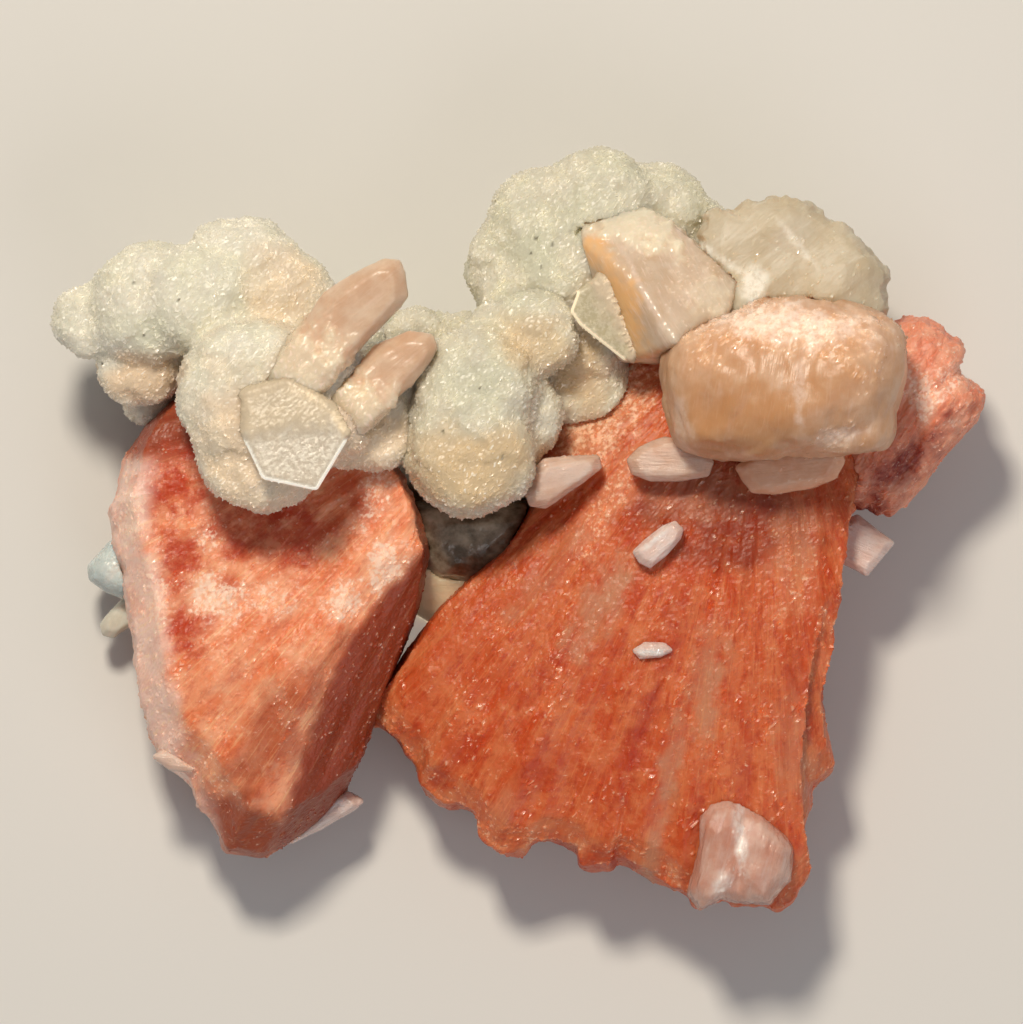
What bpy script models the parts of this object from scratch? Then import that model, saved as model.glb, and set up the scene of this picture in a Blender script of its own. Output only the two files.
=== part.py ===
"""A heulandite and stilbite cluster, lying on the flat break where it came off its rock.

+Z points up from the break, +X to the right and +Y away from someone who looks down on the
cluster. The origin is on the resting plane, under the middle of the cluster. Outlines are
in millimetres in that plane, and turn into metres where a shape is made.

Two salmon heulandite fans spread towards -Y and a third, the wing, towards +X. Peach and
white stilbite sits on them, and a pale sparkling druse of round lobes covers the far side.
"""

import bisect
import math
import random

import bmesh
import bpy
from mathutils import Vector, noise

MM = 0.001
GAP = 0.3 * MM  # between crystals that grew against each other
MARGIN = 0.5 * MM  # how near two boxes come before one crystal is cut by the other
SEED = 11

# Heights above the resting plane, in millimetres
FAN_RIGHT_TOP = 23.5
FAN_RIGHT_BACK = 7.5
FAN_LEFT_TOP = 24.5
FAN_LEFT_BACK = 5.5
LOAF_TOP = 40.5
LOAF_EDGE = 30.0
LOAF_FOOT = 19.0

# Shapes of the fans
CROWN = 4.8  # how far the large fan's front falls from its middle to its sides
FLANK_SLOPE = 0.85  # of the left fan, on the right of its crest
FACE_SLOPE = 0.13  # of the left fan, on the left of its crest
BELLY = 0.03  # how fast a fan's back rises from where it rests, for each millimetre squared
REST_DEPTH = 1.2  # how much of the belly the resting plane takes away
FULL_RIDGE_ROOM = 0.08  # share of a fan's rim that a ridge of full height takes

# Shapes of the druse
LUMPS = 0.1  # how far a druse lobe swells and sinks, as a share of its radius
FINE_LOBE = 6.5  # a lobe with a larger radius than this gets finer faces
BREAK_SIDE = 100.0  # half the side of the block that cuts the crust off
DRUSE_FACES = 0.45  # share of the faces that a cut mass of druse keeps
CRUST_FACES = 0.33
SHARP_EDGE = math.radians(38)  # an edge that turns further than this isn't shaded smooth


# Helpers that measure


def lerp(a, b, share):
    """The value this share of the way from a to b."""
    return a + (b - a) * share


def table_value(table, at):
    """Reads a table of (place, value) pairs, in rising order of place, with straight runs between."""
    places = [place for place, _ in table]
    k = min(max(bisect.bisect(places, at), 1), len(table) - 1)
    (low, a), (high, b) = table[k - 1], table[k]
    return lerp(a, b, min(max((at - low) / (high - low), 0.0), 1.0))


def line_shares(points):
    """How far along its line each point is, from 0 to 1."""
    run = [0.0]
    for a, b in zip(points, points[1:]):
        run.append(run[-1] + math.dist(a, b))
    return [r / run[-1] for r in run]


def on_line(points, share):
    """The point this share of the way along a line of points."""
    shares = line_shares(points)
    return Vector([table_value(list(zip(shares, [p[k] for p in points])), share) for k in (0, 1)])


def coons(top, left, right, rim, s, t):
    """A point of the patch between four edges: s runs from left to right, t from top to rim."""
    edges = lerp(on_line(left, t), on_line(right, t), s) + lerp(on_line(top, s), on_line(rim, s), t)
    corners = lerp(
        lerp(Vector(top[0]), Vector(top[-1]), s), lerp(Vector(rim[0]), Vector(rim[-1]), s), t
    )
    return edges - corners


def middle_of(outline):
    """The mean of an outline's corners."""
    return sum((Vector(p) for p in outline), Vector((0.0, 0.0))) / len(outline)


# Helpers that make solids


def finish(name, colour, roughness, see_through=0.0):
    """A material with one colour."""
    material = bpy.data.materials.new(name)
    material.use_nodes = True
    shader = material.node_tree.nodes["Principled BSDF"]
    shader.inputs["Base Color"].default_value = (*colour, 1.0)
    shader.inputs["Roughness"].default_value = roughness
    shader.inputs["Metallic"].default_value = 0.0
    shader.inputs["Transmission Weight"].default_value = see_through
    return material


def solid_from(name, bm, material):
    """Turns a closed bmesh in metres into an object whose faces point out."""
    bmesh.ops.triangulate(bm, faces=bm.faces)
    bmesh.ops.recalc_face_normals(bm, faces=bm.faces)
    if bm.calc_volume(signed=True) < 0.0:
        bmesh.ops.reverse_faces(bm, faces=bm.faces)
    mesh = bpy.data.meshes.new(name)
    bm.to_mesh(mesh)
    bm.free()
    mesh.materials.append(material)
    made = bpy.data.objects.new(name, mesh)
    bpy.context.scene.collection.objects.link(made)
    return made


def bridge(bm, first, second):
    """A ring of faces between two closed loops of vertices."""
    count = len(first)
    for k in range(count):
        n = (k + 1) % count
        bm.faces.new((first[k], first[n], second[n], second[k]))


def point(xy, z):
    """A point in metres from millimetres."""
    return Vector((xy[0], xy[1], z)) * MM


def sheaf(name, edges, columns, rows, front, back, bulge, material):
    """A fan of fibres: a front and a back grid over a four-edged patch, joined by a blunt edge.

    front and back give a height from (xy, s, t, column).
    """
    bm = bmesh.new()
    grids = []
    flat = [[coons(*edges, s, t) for s in columns] for t in rows]
    for height in (front, back):
        grids.append(
            [
                [
                    bm.verts.new(point(xy, height(xy, s, t, j)))
                    for j, (xy, s) in enumerate(zip(line, columns))
                ]
                for line, t in zip(flat, rows)
            ]
        )
    last_row, last_column = len(rows) - 1, len(columns) - 1
    for i in range(last_row):
        for j in range(last_column):
            for grid in grids:
                bm.faces.new((grid[i][j], grid[i][j + 1], grid[i + 1][j + 1], grid[i + 1][j]))
    border = [(0, j) for j in range(last_column)]
    border += [(i, last_column) for i in range(last_row)]
    border += [(last_row, j) for j in range(last_column, 0, -1)]
    border += [(i, 0) for i in range(last_row, 0, -1)]
    blunt = []
    for i, j in border:
        inside = flat[min(max(i, 1), last_row - 1)][min(max(j, 1), last_column - 1)]
        out = (flat[i][j] - inside).normalized() * bulge * MM
        halfway = lerp(grids[0][i][j].co, grids[1][i][j].co, 0.5)
        blunt.append(bm.verts.new(halfway + Vector((out.x, out.y, 0.0))))
    for grid in grids:
        bridge(bm, [grid[i][j] for i, j in border], blunt)
    return solid_from(name, bm, material)


def lens(name, outline, top, middle, bottom, material, fullness=3.0, tilt=(0.0, 0.0), relief=None):
    """A crowned crystal over an outline: its edge is at middle, its two sides bulge to top and bottom."""
    shrinks = (0.93, 0.78, 0.5)
    centre = middle_of(outline)
    bm = bmesh.new()

    def height(xy, shrink, end):
        away = xy - centre
        z = middle + (end - middle) * math.sqrt(1.0 - shrink**fullness)
        z += tilt[0] * away.x + tilt[1] * away.y
        return z + (relief(xy) * (1.0 - shrink**4) if relief and end == top else 0.0)

    def loop(shrink, end):
        places = [centre + (Vector(p) - centre) * shrink for p in outline]
        return [bm.verts.new(point(xy, height(xy, shrink, end))) for xy in places]

    edge = loop(1.0, middle)
    for end in (top, bottom):
        outer = edge
        for shrink in shrinks:
            inner = loop(shrink, end)
            bridge(bm, outer, inner)
            outer = inner
        pole = bm.verts.new(point(centre, height(centre, 0.0, end)))
        for k in range(len(outer)):
            bm.faces.new((outer[k], outer[(k + 1) % len(outer)], pole))
    return solid_from(name, bm, material)


def hull(name, points, material):
    """A flat-faced crystal: the smallest convex solid around its corners."""
    bm = bmesh.new()
    for p in points:
        bm.verts.new(Vector(p) * MM)
    made = bmesh.ops.convex_hull(bm, input=bm.verts)
    unused = [v for v in made["geom_interior"] if isinstance(v, bmesh.types.BMVert)]
    bmesh.ops.delete(bm, geom=unused, context="VERTS")
    return solid_from(name, bm, material)


def tablet(name, outline, height, thickness, chamfer, material, slope=(0.0, 0.0)):
    """A flat crystal with chamfered edges over an outline, its middle plane at height and sloped."""
    centre = middle_of(outline)
    corners = []
    for x, y in outline:
        away = Vector((x, y)) - centre
        for side in (-1.0, 1.0):
            for inset, rise in ((0.0, thickness / 2 - chamfer), (chamfer, thickness / 2)):
                xy = centre + away * (1.0 - inset / away.length)
                reach = xy - centre
                plane = height + slope[0] * reach.x + slope[1] * reach.y
                corners.append((xy.x, xy.y, plane + side * rise))
    return hull(name, corners, material)


def lobe(name, place, radii, detail):
    """One round lobe, a little lumpy, to be joined to others."""
    bm = bmesh.new()
    bmesh.ops.create_icosphere(bm, subdivisions=detail, radius=1.0)
    centre = Vector(place)
    for v in bm.verts:
        lump = 1.0 + LUMPS * noise.noise(v.co * 1.7 + centre)
        v.co = (Vector(v.co[k] * radii[k] for k in range(3)) * lump + centre) * MM
    return solid_from(name, bm, None)


# Helpers that join and cut


def settle(obj):
    """Applies an object's modifiers and keeps its largest closed body."""
    graph = bpy.context.evaluated_depsgraph_get()
    mesh = bpy.data.meshes.new_from_object(obj.evaluated_get(graph))
    obj.modifiers.clear()
    bm = bmesh.new()
    bm.from_mesh(mesh)
    bmesh.ops.triangulate(bm, faces=bm.faces)
    left, groups = set(bm.faces), []
    while left:
        group, edge = set(), {left.pop()}
        while edge:
            group |= edge
            edge = {near for f in edge for e in f.edges for near in e.link_faces} - group
        left -= group
        groups.append(group)
    groups.sort(key=len)
    crumbs = [face for group in groups[:-1] for face in group]
    bmesh.ops.delete(bm, geom=crumbs, context="FACES")
    bm.to_mesh(mesh)
    bm.free()
    obj.data = mesh


def boolean(obj, other, operation):
    """One exact Boolean, applied."""
    modifier = obj.modifiers.new(operation.lower(), "BOOLEAN")
    modifier.operation = operation
    modifier.solver = "EXACT"
    modifier.use_self = operation == "DIFFERENCE"  # a clearance copy can cross itself in a furrow
    modifier.object = other
    bpy.context.view_layer.update()
    settle(obj)
    bpy.data.objects.remove(other)


def grown_copy(obj, by):
    """A copy of a solid whose faces stand out by a distance."""
    bm = bmesh.new()
    bm.from_mesh(obj.data)
    bm.normal_update()
    moves = [v.normal * by * min(v.calc_shell_factor(), 2.0) for v in bm.verts]
    for v, move in zip(bm.verts, moves):
        v.co += move
    return solid_from(obj.name + "_clearance", bm, None)


def slim(obj, share):
    """Keeps this share of a solid's faces, where they say most about its shape."""
    modifier = obj.modifiers.new("slim", "DECIMATE")
    modifier.ratio = share
    modifier.use_collapse_triangulate = True
    bpy.context.view_layer.update()
    settle(obj)


def box_of(obj):
    """Lowest and highest corner of a mesh."""
    places = [v.co for v in obj.data.vertices]
    return [[pick(p[k] for p in places) for k in range(3)] for pick in (min, max)]


def boxes_meet(a, b):
    """Whether two solids' boxes come within the margin of each other."""
    (low_a, high_a), (low_b, high_b) = box_of(a), box_of(b)
    return all(low_a[k] < high_b[k] + MARGIN and low_b[k] < high_a[k] + MARGIN for k in range(3))


def fit_together(pieces):
    """Each crystal takes only the space that the ones before it in the order of growth have left."""
    for k, later in enumerate(pieces):
        for earlier in pieces[:k]:
            if boxes_meet(later, earlier):
                boolean(later, grown_copy(earlier, GAP), "DIFFERENCE")


def break_off_flat(obj):
    """Takes away everything below the resting plane."""
    bm = bmesh.new()
    bmesh.ops.create_cube(bm, size=2.0 * BREAK_SIDE * MM)
    for v in bm.verts:
        v.co.z -= BREAK_SIDE * MM
    boolean(obj, solid_from("break", bm, None), "DIFFERENCE")


def centre_over_origin(pieces):
    """Moves all the solids so that the middle of their common box is over the origin."""
    boxes = [box_of(piece) for piece in pieces]
    for k in range(2):
        middle = (min(low[k] for low, _ in boxes) + max(high[k] for _, high in boxes)) / 2
        for piece in pieces:
            for v in piece.data.vertices:
                v.co[k] -= middle


# The three heulandite fans


def with_middles(shares, widest):
    """Adds a share halfway across each step that is wider than this."""
    added = [lerp(a, b, 0.5) for a, b in zip(shares, shares[1:]) if b - a > widest]
    return sorted(shares + added)


def ridge_heights(columns, height, seed):
    """Alternating crests and furrows, one for each column of a fan, lower where columns crowd."""
    pick = random.Random(seed)
    ridges = []
    for j in range(len(columns)):
        room = columns[min(j + 1, len(columns) - 1)] - columns[max(j - 1, 0)]
        crest = 1 if j % 2 else -1
        ridges.append(crest * height * pick.uniform(0.4, 1.0) * min(1.0, room / FULL_RIDGE_ROOM))
    return ridges


def heulandite_fan_right(material):
    """The large fan: a bow tie's lower half, its waist, and the stump that goes under the stilbite."""
    rim = [
        (-18, -22), (-15.5, -24.5), (-12.2, -27.8), (-11.6, -30.4), (-9, -32.4), (-5.5, -33.8),
        (-4.6, -36.4), (-2.5, -38.2), (0.8, -38.8), (1.7, -37.3), (4.5, -37.4), (7.2, -38.2),
        (7.8, -40), (11, -40.3), (11.6, -39.1), (14.5, -40.6), (17.5, -41.8), (19.5, -43.3),
        (21.5, -44.8), (24.4, -44.2), (27.2, -45), (31, -45.3), (33, -44), (35.2, -41), (35, -38.5),
        (34.4, -36), (35.2, -33), (35.2, -30.5), (37.8, -28.6), (37.2, -24.6), (36.8, -22),
        (36, -19), (34.5, -15),
    ]
    left = [
        (9.5, 21.5), (6.5, 17), (3, 12), (2.5, 8), (3, 2), (0, -2), (-3, -5), (-9.5, -10.3),
        (-12, -13.3), (-15, -17.6), rim[0],
    ]
    right = [(42.5, 20.5), (42.3, 12), (40.5, 4), (37, -3), (34.4, -8.5), (33.6, -11.5), rim[-1]]
    top = [left[0], right[0]]
    columns = line_shares(rim)
    rows = (0.0, 0.18, 0.36, 0.53, 0.7, 0.84, 0.95, 1.0)
    ridges = ridge_heights(columns, 0.6, SEED)
    foot = Vector((15, -13))  # where the back of the fan meets the resting plane
    along = [
        (0.0, -3.5), (0.14, -1.4), (0.3, -0.4), (0.5, 0.0), (0.8, -1.6), (0.95, -3.6), (1.0, -6.0),
    ]

    def front(xy, s, t, j):
        crown = CROWN * abs(2 * s - 1) ** 2.6
        return FAN_RIGHT_TOP + table_value(along, t) - crown + ridges[j] * t**2

    def back(xy, s, t, j):
        z = BELLY * (xy - foot).length_squared - REST_DEPTH
        return min(max(z, 0.0), FAN_RIGHT_BACK + ridges[-j] * t)

    edges = (top, left, right, rim)
    return sheaf("heulandite_fan_right", edges, columns, rows, front, back, 0.7, material)


def heulandite_fan_left(material):
    """The left fan, a shield with a crest that runs down to its tip and a flank that falls away."""
    rim = [
        (-40.5, 16), (-44.5, 12.6), (-46.9, 9), (-48, 5), (-48.9, 3), (-48.4, -1.5), (-47.1, -6),
        (-46.6, -10), (-46.1, -13.5), (-45.2, -20), (-44.4, -24), (-42.6, -27.4), (-39.2, -30.2),
        (-38.3, -33), (-36.8, -35.2), (-35, -38.4), (-30.8, -38.9), (-26.3, -36.4), (-21.5, -32),
    ]
    right = [
        (-17.5, 11), (-15, 7.6), (-12.8, 2.4), (-11.5, -2), (-11.9, -7.4), (-14.3, -14.5),
        (-17, -20.6), (-19.4, -27.5), rim[-1],
    ]
    neck = (-31, 18)
    crest = [(-38, -30.8), (-29, -27.5), (-20.5, -25), (-13, -21.3), (-6, -15.8), (-1.5, -12), (6, -8)]
    columns = with_middles(line_shares(rim), 0.062)
    rows = (0.0, 0.16, 0.32, 0.48, 0.64, 0.78, 0.9, 0.965, 1.0)
    ridges = ridge_heights(columns, 0.5, SEED + 1)
    foot = Vector((-29, -8))

    def front(xy, s, t, j):
        past_crest = xy.x - table_value(crest, xy.y)
        fall = FLANK_SLOPE * max(past_crest, 0.0) + FACE_SLOPE * max(-past_crest, 0.0)
        tip = 0.22 * max(-18.0 - xy.y, 0.0)
        edge = 4.5 * max(t - 0.9, 0.0) / 0.1
        return FAN_LEFT_TOP - fall - tip - edge + ridges[j] * t**2

    def back(xy, s, t, j):
        z = BELLY * (xy - foot).length_squared - REST_DEPTH
        return min(max(z, 0.0), FAN_LEFT_BACK + ridges[-j] * t * 0.6)

    edges = ([neck, right[0]], [neck, rim[0]], right, rim)
    return sheaf("heulandite_fan_left", edges, columns, rows, front, back, 0.6, material)


def heulandite_wing(material):
    """The third fan, beyond the waist: a thick blade with a knobbly end and a steep lower flank."""
    outline = [
        (36, 8), (38, 3.5), (41, 2.6), (44.5, 2.1), (46.4, 3.5), (48.4, 5.7), (50, 8.3), (52.4, 10.7),
        (55, 13.4), (55.8, 15.8), (54.6, 17.6), (52.6, 19.4), (53.6, 21.5), (53.1, 22.7), (51.1, 23.1),
        (49.9, 24.9), (47.2, 25.3), (44.9, 24.3), (41, 23), (37, 18),
    ]

    def relief(xy):
        # The crest runs from the inner end to the outer corner, and the flank drops beyond it.
        past_crest = ((xy.x - 40.0) * 11.0 - (xy.y - 5.0) * 15.0) / math.hypot(11.0, 15.0)
        cleft = -1.6 * math.exp(-(((past_crest - 0.6) / 0.7) ** 2))
        return cleft - 0.9 * max(past_crest, 0.0)

    return lens(
        "heulandite_wing", outline, 22, 14.5, 7, material, fullness=5, tilt=(0.12, 0.0), relief=relief
    )


# Stilbite on the fans


def stilbite_loaf(material):
    """The large peach sheaf, crowned like a loaf, with a lower step fused to its right end."""
    outline = [
        (16.6, 19), (17.3, 15), (18.1, 11.4), (18.8, 9.7), (21, 8.8), (24.6, 8.5), (29.2, 8.3),
        (34, 9.3), (39, 10.2), (43.5, 12.2), (45.2, 15), (46.4, 18.2), (46.4, 21.6), (45.6, 23.8),
        (43.9, 25.2), (41.6, 26.3), (38.3, 27.2), (34.6, 27.6), (29.4, 27.7), (26.9, 26.3),
        (21.8, 24.7), (19, 23.4), (17.3, 21.2),
    ]
    step = [
        (31, 12.5), (34, 13.9), (39, 14.9), (43.7, 15.2), (44.8, 14), (45, 11.4), (43.9, 9.8),
        (37.7, 9.1), (33, 9),
    ]

    def sheaf_lines(xy):
        # Blades stand side by side along the loaf, and its far side rolls over.
        return 0.35 * math.sin(xy.x * 1.15) - 0.10 * max(xy.y - 19.0, 0.0) ** 1.6

    loaf = lens(
        "stilbite_loaf", outline, LOAF_TOP, LOAF_EDGE, LOAF_FOOT, material, fullness=4,
        tilt=(0.05, 0.0), relief=sheaf_lines,
    )
    lower_step = lens("step", step, 36.5, 32, 22, material, fullness=4)
    boolean(loaf, lower_step, "UNION")
    return loaf


def stilbite_blade_top(material):
    """The tall peach blade whose broad face looks up and whose narrow side looks left."""
    ridge = [(7.6, 34.4, 28.5), (11.3, 32.3, 31), (14.8, 28.4, 33.5), (18.6, 22.3, 35)]
    face = [
        (7.6, 37, 25), (9.5, 36.2, 27), (15, 37.9, 25), (19.3, 35.6, 26), (22.8, 32.3, 28),
        (25.9, 29.6, 28.5), (24.5, 25, 31), (22.3, 22, 32),
    ]
    side = [(9.4, 31.4, 24), (11, 27.3, 25), (12, 20.3, 25.5), (16.3, 20, 27)]
    behind = [(x, y, 17) for x, y, _ in face + side]
    return hull("stilbite_blade_top", ridge + face + side + behind, material)


def stilbite_fan_pale(material):
    """The white fan beyond the loaf, with low ribs that spread to its scalloped rim."""
    outline = [
        (23, 29), (21.6, 34), (22.2, 37.8), (23.2, 38.4), (25.4, 37.9), (26.5, 39.3), (29.5, 39.6),
        (32, 40), (33.8, 39.6), (36.4, 38), (39.1, 36.4), (41.6, 34), (43.4, 32.1), (44.4, 30.6),
        (44, 28.7), (44.4, 26.5), (43.4, 24.3), (40, 22.5), (32, 22), (25, 24),
    ]

    def ribs(xy):
        return 0.5 * math.sin(13.0 * math.atan2(xy.x - 29.0, xy.y - 16.0))

    return lens(
        "stilbite_fan_pale", outline, 28.5, 23.5, 17, material, fullness=6, tilt=(-0.05, -0.12),
        relief=ribs,
    )


def stilbite_sheaf_lower(material):
    """The pink and white double blade on the near end of the large fan."""
    outline = [
        (20.3, -43.8), (21, -40.8), (21.6, -37.8), (21.7, -34.3), (23.1, -32.5), (25.3, -32.1),
        (27.4, -33), (29.5, -34.3), (32, -36.5), (33.1, -38.3), (32.6, -42), (30.2, -45),
        (26.6, -44.9), (24.3, -44.4), (21.7, -45.7),
    ]

    def groove(xy):
        return -1.5 * math.exp(-(((xy.x - 26.9 - 0.12 * (xy.y + 38)) / 0.9) ** 2))

    return lens(
        "stilbite_sheaf_lower", outline, 24.5, 19, 13, material, fullness=5, relief=groove
    )


def stilbite_tablets(material, clear, white):
    """The single flat crystals, each over its own outline."""
    clear_left = [
        (-32.5, 16), (-32.7, 10.7), (-30.5, 6.1), (-24.1, 4.7), (-20.5, 10.7), (-22.6, 14.4),
        (-27.5, 17.4),
    ]
    clear_top = [
        (9.6, 29.9), (7.1, 28.4), (6.2, 26.1), (7.3, 24.5), (12.7, 20.2), (14.5, 22.7), (14.5, 27.5),
    ]
    blade_upper_left = [
        (-30, 17.5), (-23.3, 28.1), (-20.9, 29.7), (-18.5, 30.9), (-16.1, 32.1), (-14.3, 32),
        (-13.7, 30.5), (-13.4, 27.9), (-14.3, 26.6), (-19.1, 22.7), (-22.7, 18.5), (-26, 14.5),
    ]
    blade_left = [
        (-22.5, 15.5), (-17.3, 21.8), (-13.1, 23.6), (-10.4, 23.3), (-9.8, 21.8), (-10.7, 20.1),
        (-12.8, 17.4), (-16.1, 15.3), (-19, 12),
    ]
    tab_centre = [
        (0.9, 4.1), (1.7, 7.1), (3.1, 8.4), (6.7, 8.7), (9.5, 8.8), (9.8, 7.4), (7.9, 5.9),
        (4.9, 4.1), (3.1, 2.6), (1.3, 2.9),
    ]
    tongue = [
        (26, 7.4), (29, 10), (33.7, 11), (38.5, 10.5), (38.9, 8.1), (37.9, 6.2), (34.9, 5),
        (30.7, 4.4), (28, 4.5), (26.8, 5.9),
    ]
    lip = [
        (13, 8.3), (14.5, 9.9), (17.5, 11), (21.7, 10.5), (23.2, 8.1), (22.7, 6.5), (19.3, 5.9),
        (15.7, 5.9), (13.6, 6.7),
    ]
    on_fan_upper = [
        (13.7, -2.7), (14.5, -3.9), (15.7, -4.5), (17.5, -3.1), (19.3, -1), (19.6, 0), (18.7, 0.9),
        (17.2, 0.3), (15.1, -1.3),
    ]
    on_fan_lower = [
        (13.7, -14.5), (15.1, -13.6), (17.5, -13.7), (18.4, -14.5), (16.9, -15.2), (14.5, -15.4),
    ]
    foot_left = [
        (-31.3, -38.8), (-26.3, -34.3), (-23.9, -32.1), (-22.3, -31.3), (-20.3, -31.9),
        (-18.8, -32.8), (-20, -33.9), (-23.9, -36.1), (-28.1, -38.1),
    ]
    flake = [
        (-44, -27.3), (-42.5, -26.4), (-39.5, -26.3), (-36.8, -27.3), (-36.5, -28.3), (-38.9, -29.2),
        (-41.9, -28.9),
    ]
    prism_right = [(38, 0.5), (40.7, 1.7), (45.1, -1.6), (41.9, -5.5), (36.5, -2.7)]
    return [
        tablet("clear_plate_left", clear_left, 37.4, 1.5, 0.4, clear, slope=(0.0, -0.12)),
        tablet("clear_plate_top", clear_top, 28.5, 1.3, 0.35, clear, slope=(-0.15, 0.1)),
        tablet("stilbite_blade_upper_left", blade_upper_left, 35, 6, 1.6, material, slope=(0.05, 0.1)),
        tablet("stilbite_blade_left", blade_left, 32, 5, 1.4, material, slope=(0.1, 0.0)),
        tablet("stilbite_tab_centre", tab_centre, 24.6, 4.6, 1.2, material, slope=(-0.3, 0.1)),
        tablet("stilbite_tongue", tongue, 25.4, 4.6, 1.2, material, slope=(0.0, 0.1)),
        tablet("stilbite_lip", lip, 25.2, 4, 1.0, material, slope=(0.0, 0.1)),
        tablet("stilbite_crystal_upper", on_fan_upper, 24, 3.4, 0.8, white),
        tablet("stilbite_crystal_lower", on_fan_lower, 22.8, 2.6, 0.5, white),
        tablet("stilbite_blade_foot", foot_left, 9.5, 4.4, 1.2, white, slope=(-0.1, 0.1)),
        tablet("stilbite_flake", flake, 16.5, 2.4, 0.6, white, slope=(0.1, 0.15)),
        tablet("stilbite_prism_right", prism_right, 13.5, 5.5, 0.9, white, slope=(0.1, 0.0)),
    ]


# The druse


def joined_lobes(name, parts, material):
    """One solid from overlapping lobes."""
    whole = parts[0]
    for part in parts[1:]:
        boolean(whole, part, "UNION")
    whole.name = name
    whole.data.materials.clear()
    whole.data.materials.append(material)
    return whole


def druse(name, lobes, cores, material):
    """A mass of round lobes grown into each other, on coarser cores. All are (x, y, z, radius)."""
    parts = [lobe(name, (x, y, z), [r] * 3, 2) for x, y, z, r in cores]
    for x, y, z, r in lobes:
        parts.append(lobe(name, (x, y, z), [r] * 3, 3 if r > FINE_LOBE else 2))
    return joined_lobes(name, parts, material)


def druse_left(material):
    """The left mass: lobes along the far edge, and two large ones in front of the left fan."""
    lobes = [
        (-33.3, 29.7, 21, 7.7), (-44.2, 27, 21, 7.1), (-51.6, 25.0, 19.5, 4.2), (-45.4, 20.2, 18, 5.2),
        (-38.8, 27.6, 25, 6.0), (-27.6, 27.4, 23, 5.4), (-31.7, 16.1, 28, 8.9), (-30.8, 9.6, 27.5, 7.4),
        (-23.3, 15.5, 27, 7.4), (-17.8, 12.6, 24, 5.6), (-15.4, 17.4, 23.5, 5.0), (-44.5, 16.5, 11, 3.6),
    ]
    cores = [(-36, 22, 14, 8.8), (-23, 21, 15, 8.0)]
    return druse("druse_left", lobes, cores, material)


def druse_top(material):
    """The far mass in the middle: lobes along the edge and their shoulder down to the large fan."""
    lobes = [
        (9.5, 38.7, 20, 6.8), (2.6, 37, 19, 5.9), (-1.4, 32.0, 18, 4.9), (0.8, 27.5, 19, 5.4),
        (17, 38.2, 18, 5.4), (21.4, 35.6, 17, 4.3), (6.2, 31.2, 20, 6.4), (7.3, 18, 16, 6.0),
        (6.7, 24, 18, 6.2), (24, 31.5, 14, 5.2),
    ]
    cores = [(13, 29, 13, 8.8)]
    return druse("druse_top", lobes, cores, material)


def druse_centre(material):
    """The middle ball of two large lobes, with small lobes beyond it and lower ones behind."""
    lobes = [
        (-4.9, 17, 26.5, 7.3), (-5.6, 9.3, 26.5, 7.7), (-12.8, 12.5, 23.5, 4.5), (0.5, 13.5, 23, 4.6),
        (1.9, 23.3, 25.5, 5.0), (-2.5, 24.2, 26, 3.0), (-12.4, 22.2, 14, 4.2), (-7.2, 22.0, 13, 4.0),
    ]
    cores = [(-5, 14, 16, 8.0)]
    return druse("druse_centre", lobes, cores, material)


def matrix_crust(material):
    """The low crust that everything grew on."""
    mounds = [
        ((-4, 12.5, 4), (19, 11.5, 12)), ((-19, 20, 4), (10, 7.5, 11)), ((-34, 23, 4), (15, 9, 12)),
        ((10, 27, 4), (15, 12, 12)), ((30, 22, 4), (14, 14, 10)),
    ]
    name = "matrix_crust"
    return joined_lobes(name, [lobe(name, place, radii, 2) for place, radii in mounds], material)


def back_crystals(grey, beige, white):
    """What shows between and beside the fans, low down: a smoky crystal and small blocks."""
    smoky = [(-14, 3.5), (3.5, 3.5), (1.9, -1.9), (-1.7, -5.5), (-5.3, -6.7), (-10, -6), (-13.8, -3)]
    block = [(-14, -3.5), (-1.7, -3.5), (-2.3, -7.3), (-7.1, -10.9), (-10.7, -11.1), (-12.8, -9.9)]
    sliver = [(-15, -10), (-9, -10), (-11.3, -14.5), (-14.3, -18.5), (-16.7, -19.5), (-16, -14)]
    lobe_left = [
        (-44, -0.3), (-48.5, -0.6), (-50.5, -2.7), (-52, -4.5), (-51.8, -6.1), (-49.9, -7.5),
        (-47.3, -8.5), (-43, -8),
    ]
    blade_left = [
        (-43, -4.5), (-46.7, -7.3), (-49.3, -9.9), (-50.5, -11.5), (-50.3, -12.7), (-49.1, -13),
        (-47.3, -11.5), (-43, -8.8),
    ]
    return [
        lens("smoky_crystal", smoky, 15, 9, 4, grey, fullness=3, tilt=(0.0, 0.25)),
        tablet("beige_crystal", block, 7.5, 7, 1.2, beige, slope=(0.0, 0.2)),
        tablet("white_crystal", sliver, 5, 4, 1.0, white),
        lens("blue_grey_crystal", lobe_left, 13, 9, 5, grey, fullness=4),
        tablet("beige_blade_left", blade_left, 6.5, 3.4, 0.9, beige),
    ]


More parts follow.
